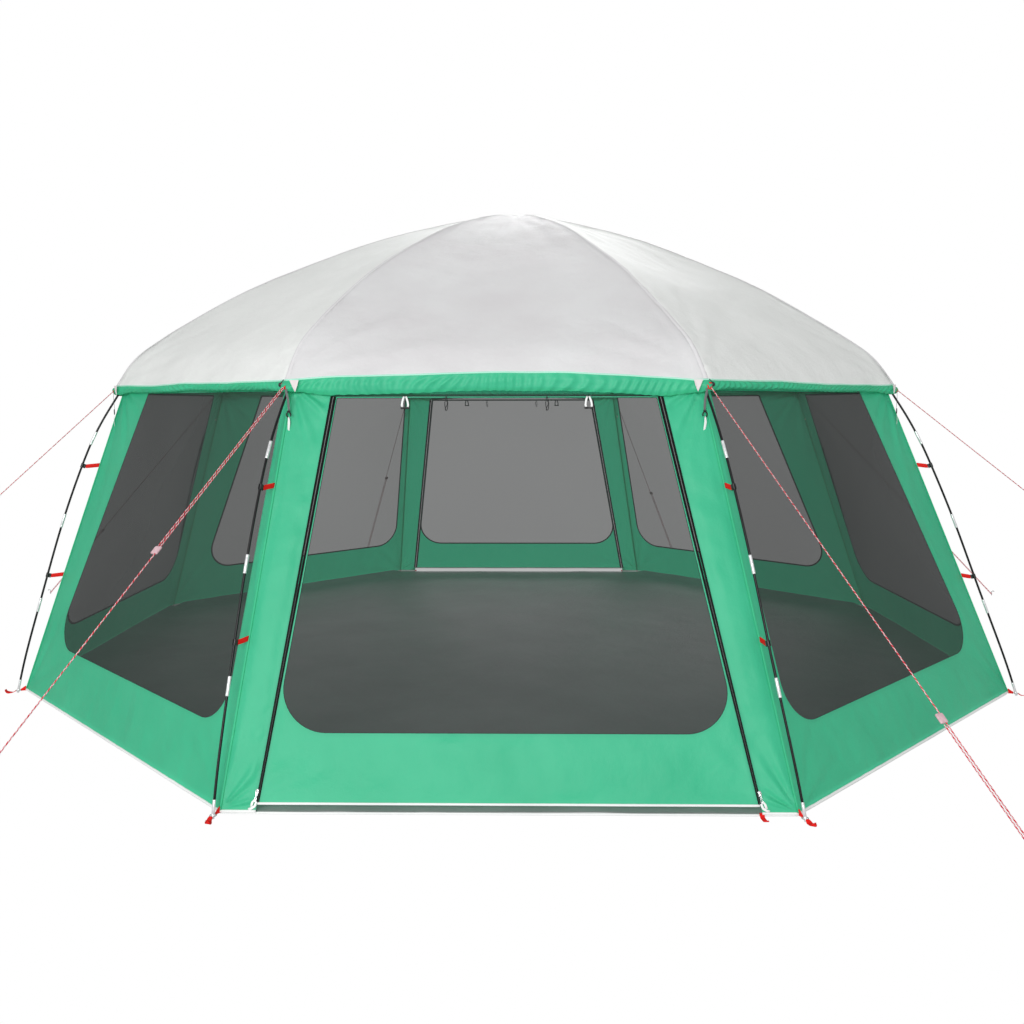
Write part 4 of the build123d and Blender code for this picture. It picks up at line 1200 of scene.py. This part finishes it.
for name, ang in (("front", 0), ("back", 180)):
    o, t, up_ = local(ang)
    for s in (-1, 1):
        # short pegging loop under each zip, and the white tab that finishes the hem
        c0 = s * zip_u(0.0)
        pts = [at(ang, 2.727, 0.018, c0), at(ang, 2.733, 0.010, c0), at(ang, 2.742, 0.0040, c0), at(ang, 2.756, 0.0026, c0 + s * 0.002),
               at(ang, 2.772, 0.0030, c0 + s * 0.004), at(ang, 2.782, 0.0065, c0 + s * 0.005), at(ang, 2.7855, 0.0125, c0 + s * 0.005)]
        if (name, s) != ("front", -1):
            web.strap(pts, 0.0190, [up_ * 1.0 + o * (0.8 if i < 2 else 0) for i in range(7)], 0.0024)
        fr = wall_frame(ang)
        pts = [wp(fr, s * (zip_u(0.0) + 0.030) - s * 0.0, 0.004, 0.0040), wp(fr, s * (zip_u(0.0) + 0.016), 0.008, 0.0062), wp(fr, s * (zip_u(0.0) + 0.004), 0.016, 0.0066),
               wp(fr, s * (zip_u(0.0) - 0.001), 0.030, 0.0064), wp(fr, s * (zip_u(0.0) + 0.006), 0.040, 0.0060), wp(fr, s * (zip_u(0.0) + 0.014), 0.030, 0.0058), wp(fr, s * (zip_u(0.0) + 0.018), 0.014, 0.0056)]
        tails.strap(pts, 0.0095, fr[3], 0.0016)

o1 = clips.done("pole_clip_bodies", M["plastic"], auto=40)
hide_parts("pole_clips")
o2 = web.done("red_webbing_straps", M["red"])
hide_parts("corner_webbing")
o3 = rings_s.done("foot_ring_steel", M["steel"])
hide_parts("foot_rings")
o4 = hooks.done("eave_hook_bodies", M["plastic"], auto=40)
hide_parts("eave_hooks")
o5 = patches.done("corner_patch_triangles", M["patch"])
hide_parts("corner_patches")
greys.done("eave_hook_tapes", M["grey_tape"])
tails.done("white_pull_tabs", M["white"])

# ----------------------------------------- ties for the rolled-up leaf, zip parts
for name, ang in (("front", 0), ("back", 180)):
    body = LEAF_BODY[name]
    fr = wall_frame(ang)
    wl, bl = Soup(), Soup()
    TOPV = DOOR_V1
    for u0 in (-0.395, 0.395):
        pts = [wp(fr, u0 + x, TOPV + y, n_) for x, y, n_ in ((-0.004, -0.004, 0.0050), (-0.0075, -0.014, 0.0062), (-0.0115, -0.028, 0.0066), (-0.0135, -0.042, 0.0060), (-0.0120, -0.0520, 0.0055))]
        wl.strap(pts, 0.0085, fr[3], 0.0020)
        pts = [wp(fr, u0 - x, TOPV + y, n_ + 0.0006) for x, y, n_ in ((-0.004, -0.004, 0.0050), (-0.0075, -0.014, 0.0062), (-0.0115, -0.028, 0.0066), (-0.0135, -0.042, 0.0060), (-0.0120, -0.0520, 0.0055))]
        wl.strap(pts, 0.0085, fr[3], 0.0020)
        pr_ = [(0, 0.0024), (0.0012, 0.0040), (0.004, 0.0045), (0.0125, 0.0042), (0.0150, 0.0034), (0.0230, 0.0034), (0.0255, 0.0042), (0.034, 0.0045), (0.0368, 0.0040), (0.038, 0.0024)]
        bl.revolve(wp(fr, u0 - 0.019, TOPV - 0.056, 0.0050), fr[1], pr_, 14)
    for u0 in (-0.217, 0.217):
        pts = []
        for i in range(33):
            a = 2 * pi * i / 32
            pts.append(wp(fr, u0 + 0.0064 * sin(a) * (1.0 if cos(a) < 0.2 else 0.75), TOPV - 0.0365 + 0.0305 * cos(a), 0.0056 + 0.0010 * sin(2 * a)))
        bl.tube(pts, 0.0015, 7, caps=False)
        pts = [wp(fr, u0 + 0.0050 * sin(i / 10 * 5.2), TOPV - 0.022 - 0.046 * i / 10, 0.0080 + 0.001 * sin(i * 0.5)) for i in range(11)]
        bl.tube(pts, 0.0016, 7)
    w_ = wl.done(f"{name}_door_tie_loops", M["white"], body)
    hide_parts(f"{name}_door_ties")
    b_ = bl.done(f"{name}_door_toggle_set", M["plastic"], body, auto=50)
    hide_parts(f"{name}_door_toggles")
    for side, s in (("left", -1), ("right", 1)):
        ex_, ey_, ez_ = fr[1], fr[2], fr[3]
        along = (wp(fr, s * DOOR_U1, DOOR_V1) - wp(fr, s * DOOR_U0, DOOR_V0)).normalized()
        across = along.cross(ez_) * s
        oo = fr[0] + ex_ * (s * zip_u(0.070)) + ey_ * 0.070 + across * (GAP + 0.0005)
        zn = 0.001 + 0.0012 + 0.0004
        sb = Soup()
        # slider body, wider at the mouth end, with a bridge over the pull
        rws = []
        for lz, shr in ((0.0, 0.0007), (0.0006, 0.0), (0.0028, 0.0), (0.0034, 0.0007)):
            ring = []
            for x, y in ((0.0005, -0.0100), (0.0000, -0.0030), (-0.0000, 0.0055), (0.0012, 0.0092), (0.0042, 0.0100), (0.0078, 0.0100), (0.0108, 0.0092), (0.0120, 0.0055), (0.0120, -0.0030), (0.0115, -0.0100)):
                cx, cy = 0.006, 0.0
                ring.append(oo + across * (cx + (x - cx) * (1 - shr / 0.006)) + along * (y * (1 - shr / 0.010)) + ez_ * (zn + lz))
            rws.append(ring)
        k0 = len(sb.v)
        fl_ = across.cross(along).dot(ez_) < 0
        sb.grid(rws, wrap=True, flip=fl_)
        a_, b2 = [k0 + j for j in range(10)], [k0 + 30 + j for j in range(10)]
        sb.f += [a_ if fl_ else a_[::-1], b2[::-1] if fl_ else b2]
        sb.i += [0, 0]
        pin = oo + ez_ * (zn + 0.0062)
        for x in (0.001, 0.011):
            block(sb, oo + across * x + ez_ * (zn + 0.0058), across, along, ez_, 0.0010, 0.0026, 0.0028, 0.0005)
        sb.tube([pin + across * 0.0010, pin + across * 0.0110], 0.0011, 10)
        so = sb.done(f"{name}_slider_body_{side}", M["nickel"], f"{name}_zip_slider_{side}_body", auto=40)
        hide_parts(f"{name}_zip_slider_{side}")
        pb = Soup()
        rr = []
        for i in range(13):
            a = 2 * pi * i / 12
            rr.append(a)
        # barrel
        for ri, ro in ((0.0012, 0.0023),):
            prof = [(0.0024, ri), (0.0024, ro - .0004), (0.0028, ro), (0.0092, ro), (0.0096, ro - .0004), (0.0096, ri)]
            ringz = [[pin + across * a_ + ey2 for ey2 in [along * (r_ * cos(2 * pi * j / 14)) + ez_ * (r_ * sin(2 * pi * j / 14)) for j in range(14)]] for a_, r_ in prof]
            ringz.append(ringz[0])
            pb.grid(ringz, wrap=True)
        # tab with a long slot, hanging down the zip
        path = [(0.0033, -0.0022), (0.0033, -0.034), (0.0040, -0.0372), (0.0060, -0.0386), (0.0080, -0.0372), (0.0087, -0.034), (0.0087, -0.0022)]
        pb.strap([pin + across * x + along * y for x, y in path], 0.0016, [((across * (x - 0.006)) + along * (y + 0.030 if y < -0.033 else 0)).normalized() for x, y in path], 0.0018)
        po_ = pb.done(f"{name}_pull_tab_{side}", M["nickel"], f"{name}_zip_pull_{side}_body", auto=45)
        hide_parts(f"{name}_zip_pull_{side}")

# ------------------------------------------------------------- runners and pegs
pegs = Soup()
for ang, name in zip(CORNERS, NAMES):
    o, t, up_ = local(ang)
    rope, length, line, way, d, L, sr_, pt = ropes[name]
    t = (t - d * t.dot(d)).normalized()
    n_ = d.cross(t)
    rs = Soup()
    bore = 0.0055
    c_ = pt(sr_, 0)
    # flat bar, thicker round the two strands, waisted between them
    sect = []
    for j in range(28):
        a = 2 * pi * j / 28
        x, y = cos(a), sin(a)
        w = 0.0150 * (abs(x) ** 0.55) * (1 if x > 0 else -1)
        h = 0.0045 * (abs(y) ** 0.55) * (1 if y > 0 else -1) * (1 - 0.20 * exp(-(w / 0.0035) ** 2))
        sect.append((w, h))
    rws = []
    for s_, k in ((-0.0170, 0.80), (-0.0166, 0.90), (-0.0155, 0.97), (-0.0135, 1.0), (0.0, 1.0), (0.0135, 1.0), (0.0155, 0.97), (0.0166, 0.90), (0.0170, 0.80)):
        rws.append([c_ + d * s_ + t * (w * (0.12 + 0.88 * k if k < 1 else 1)) + n_ * (h * k) for w, h in sect])
    k0 = len(rs.v)
    rs.grid(rws, wrap=True)
    rs.f += [[k0 + j for j in range(28)][::-1], [k0 + 8 * 28 + j for j in range(28)]]
    rs.i += [0, 0]
    cut = Soup()
    for w in (-bore, bore):
        cut.tube([pt(sr_ - 0.022, w), pt(sr_ + 0.022, w)], 0.0029, 20)
    cutter = build("runner_bores", cut.v, cut.f, M["runner"])
    blank = build("runner_blank", rs.v, rs.f, M["runner"])
    md = blank.modifiers.new("bores", "BOOLEAN")
    md.operation, md.object, md.solver = "DIFFERENCE", cutter, "EXACT"
    me = bpy.data.meshes.new_from_object(blank.evaluated_get(bpy.context.evaluated_depsgraph_get()))
    rs2 = Soup()
    rs2.add([v.co.copy() for v in me.vertices], [list(p_.vertices) for p_ in me.polygons])
    for ob in (cutter, blank):
        bpy.data.objects.remove(ob)
    ro = rs2.done(f"guy_runner_{name}_bar", M["runner"], f"guy_runner_{name}_body", auto=50)
    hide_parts(f"guy_runner_{name}")
    foot = at(ang, PEG_R[name], 0)
    way_p = [(0, 0.0005), (0, 0.012), (0, 0.026), (0.0006, 0.0310), (0.0025, 0.0345), (0.0060, 0.0362), (0.012, 0.0364), (0.018, 0.0360), (0.0225, 0.0346), (0.0250, 0.0318), (0.0256, 0.0285)]
    pegs.tube([foot + o * x + up_ * z for x, z in way_p], 0.0029, 12)
pg = pegs.done("peg_steel", M["steel"])
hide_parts("guy_pegs")

# ------------------------------------------------------------------ light, world
scene = bpy.context.scene
world = bpy.data.worlds.new("studio")
scene.world = world
world.use_nodes = True
bg = world.node_tree.nodes["Background"]
bg.inputs["Color"].default_value = (1, 1, 1, 1)
bg.inputs["Strength"].default_value = 1.0
wn, wl_ = world.node_tree.nodes, world.node_tree.links
lp_ = wn.new("ShaderNodeLightPath")
mr = wn.new("ShaderNodeMapRange")
mr.inputs["To Min"].default_value, mr.inputs["To Max"].default_value = 0.60, 1.0
wl_.new(lp_.outputs["Is Camera Ray"], mr.inputs["Value"])
wl_.new(mr.outputs["Result"], bg.inputs["Strength"])


def area(name, loc, target, size, power, color=(1, 1, 1)):
    ld = bpy.data.lights.new(name, "AREA")
    ld.shape = "RECTANGLE"
    ld.size, ld.size_y = size
    ld.energy = power
    ld.color = color
    lo = bpy.data.objects.new(name, ld)
    lo.location = loc
    lo.rotation_euler = (Vector(target) - Vector(loc)).to_track_quat("-Z", "Y").to_euler()
    scene.collection.objects.link(lo)
    lo.visible_camera = False
    return lo


area("key", (-2.0, -11.5, 3.8), (0, 0, 1.0), (5, 3), 690)
area("back", (0.8, 9.5, 8.0), (0, 0, 1.2), (7, 5), 780)

# plain white floor under the tent: bright to the camera, as bright as the sky to everything else
stage = build("studio_floor", [(-40, -40, -0.004), (40, -40, -0.004), (40, 60, -0.004), (-40, 60, -0.004)], [(0, 1, 2, 3)], mat("studio_white", (1, 1, 1), 1.0))
sn, sl, sb_ = nodes_of(stage.data.materials[0])
em = sn.new("ShaderNodeEmission")
lp2 = sn.new("ShaderNodeLightPath")
mr2 = sn.new("ShaderNodeMapRange")
mr2.inputs["To Min"].default_value, mr2.inputs["To Max"].default_value = 0.60, 1.0
sl.new(lp2.outputs["Is Camera Ray"], mr2.inputs["Value"])
sl.new(mr2.outputs["Result"], em.inputs["Strength"])
sl.new(em.outputs["Emission"], sn["Material Output"].inputs["Surface"])
scene.view_settings.view_transform = "Standard"
scene.view_settings.look = "None"
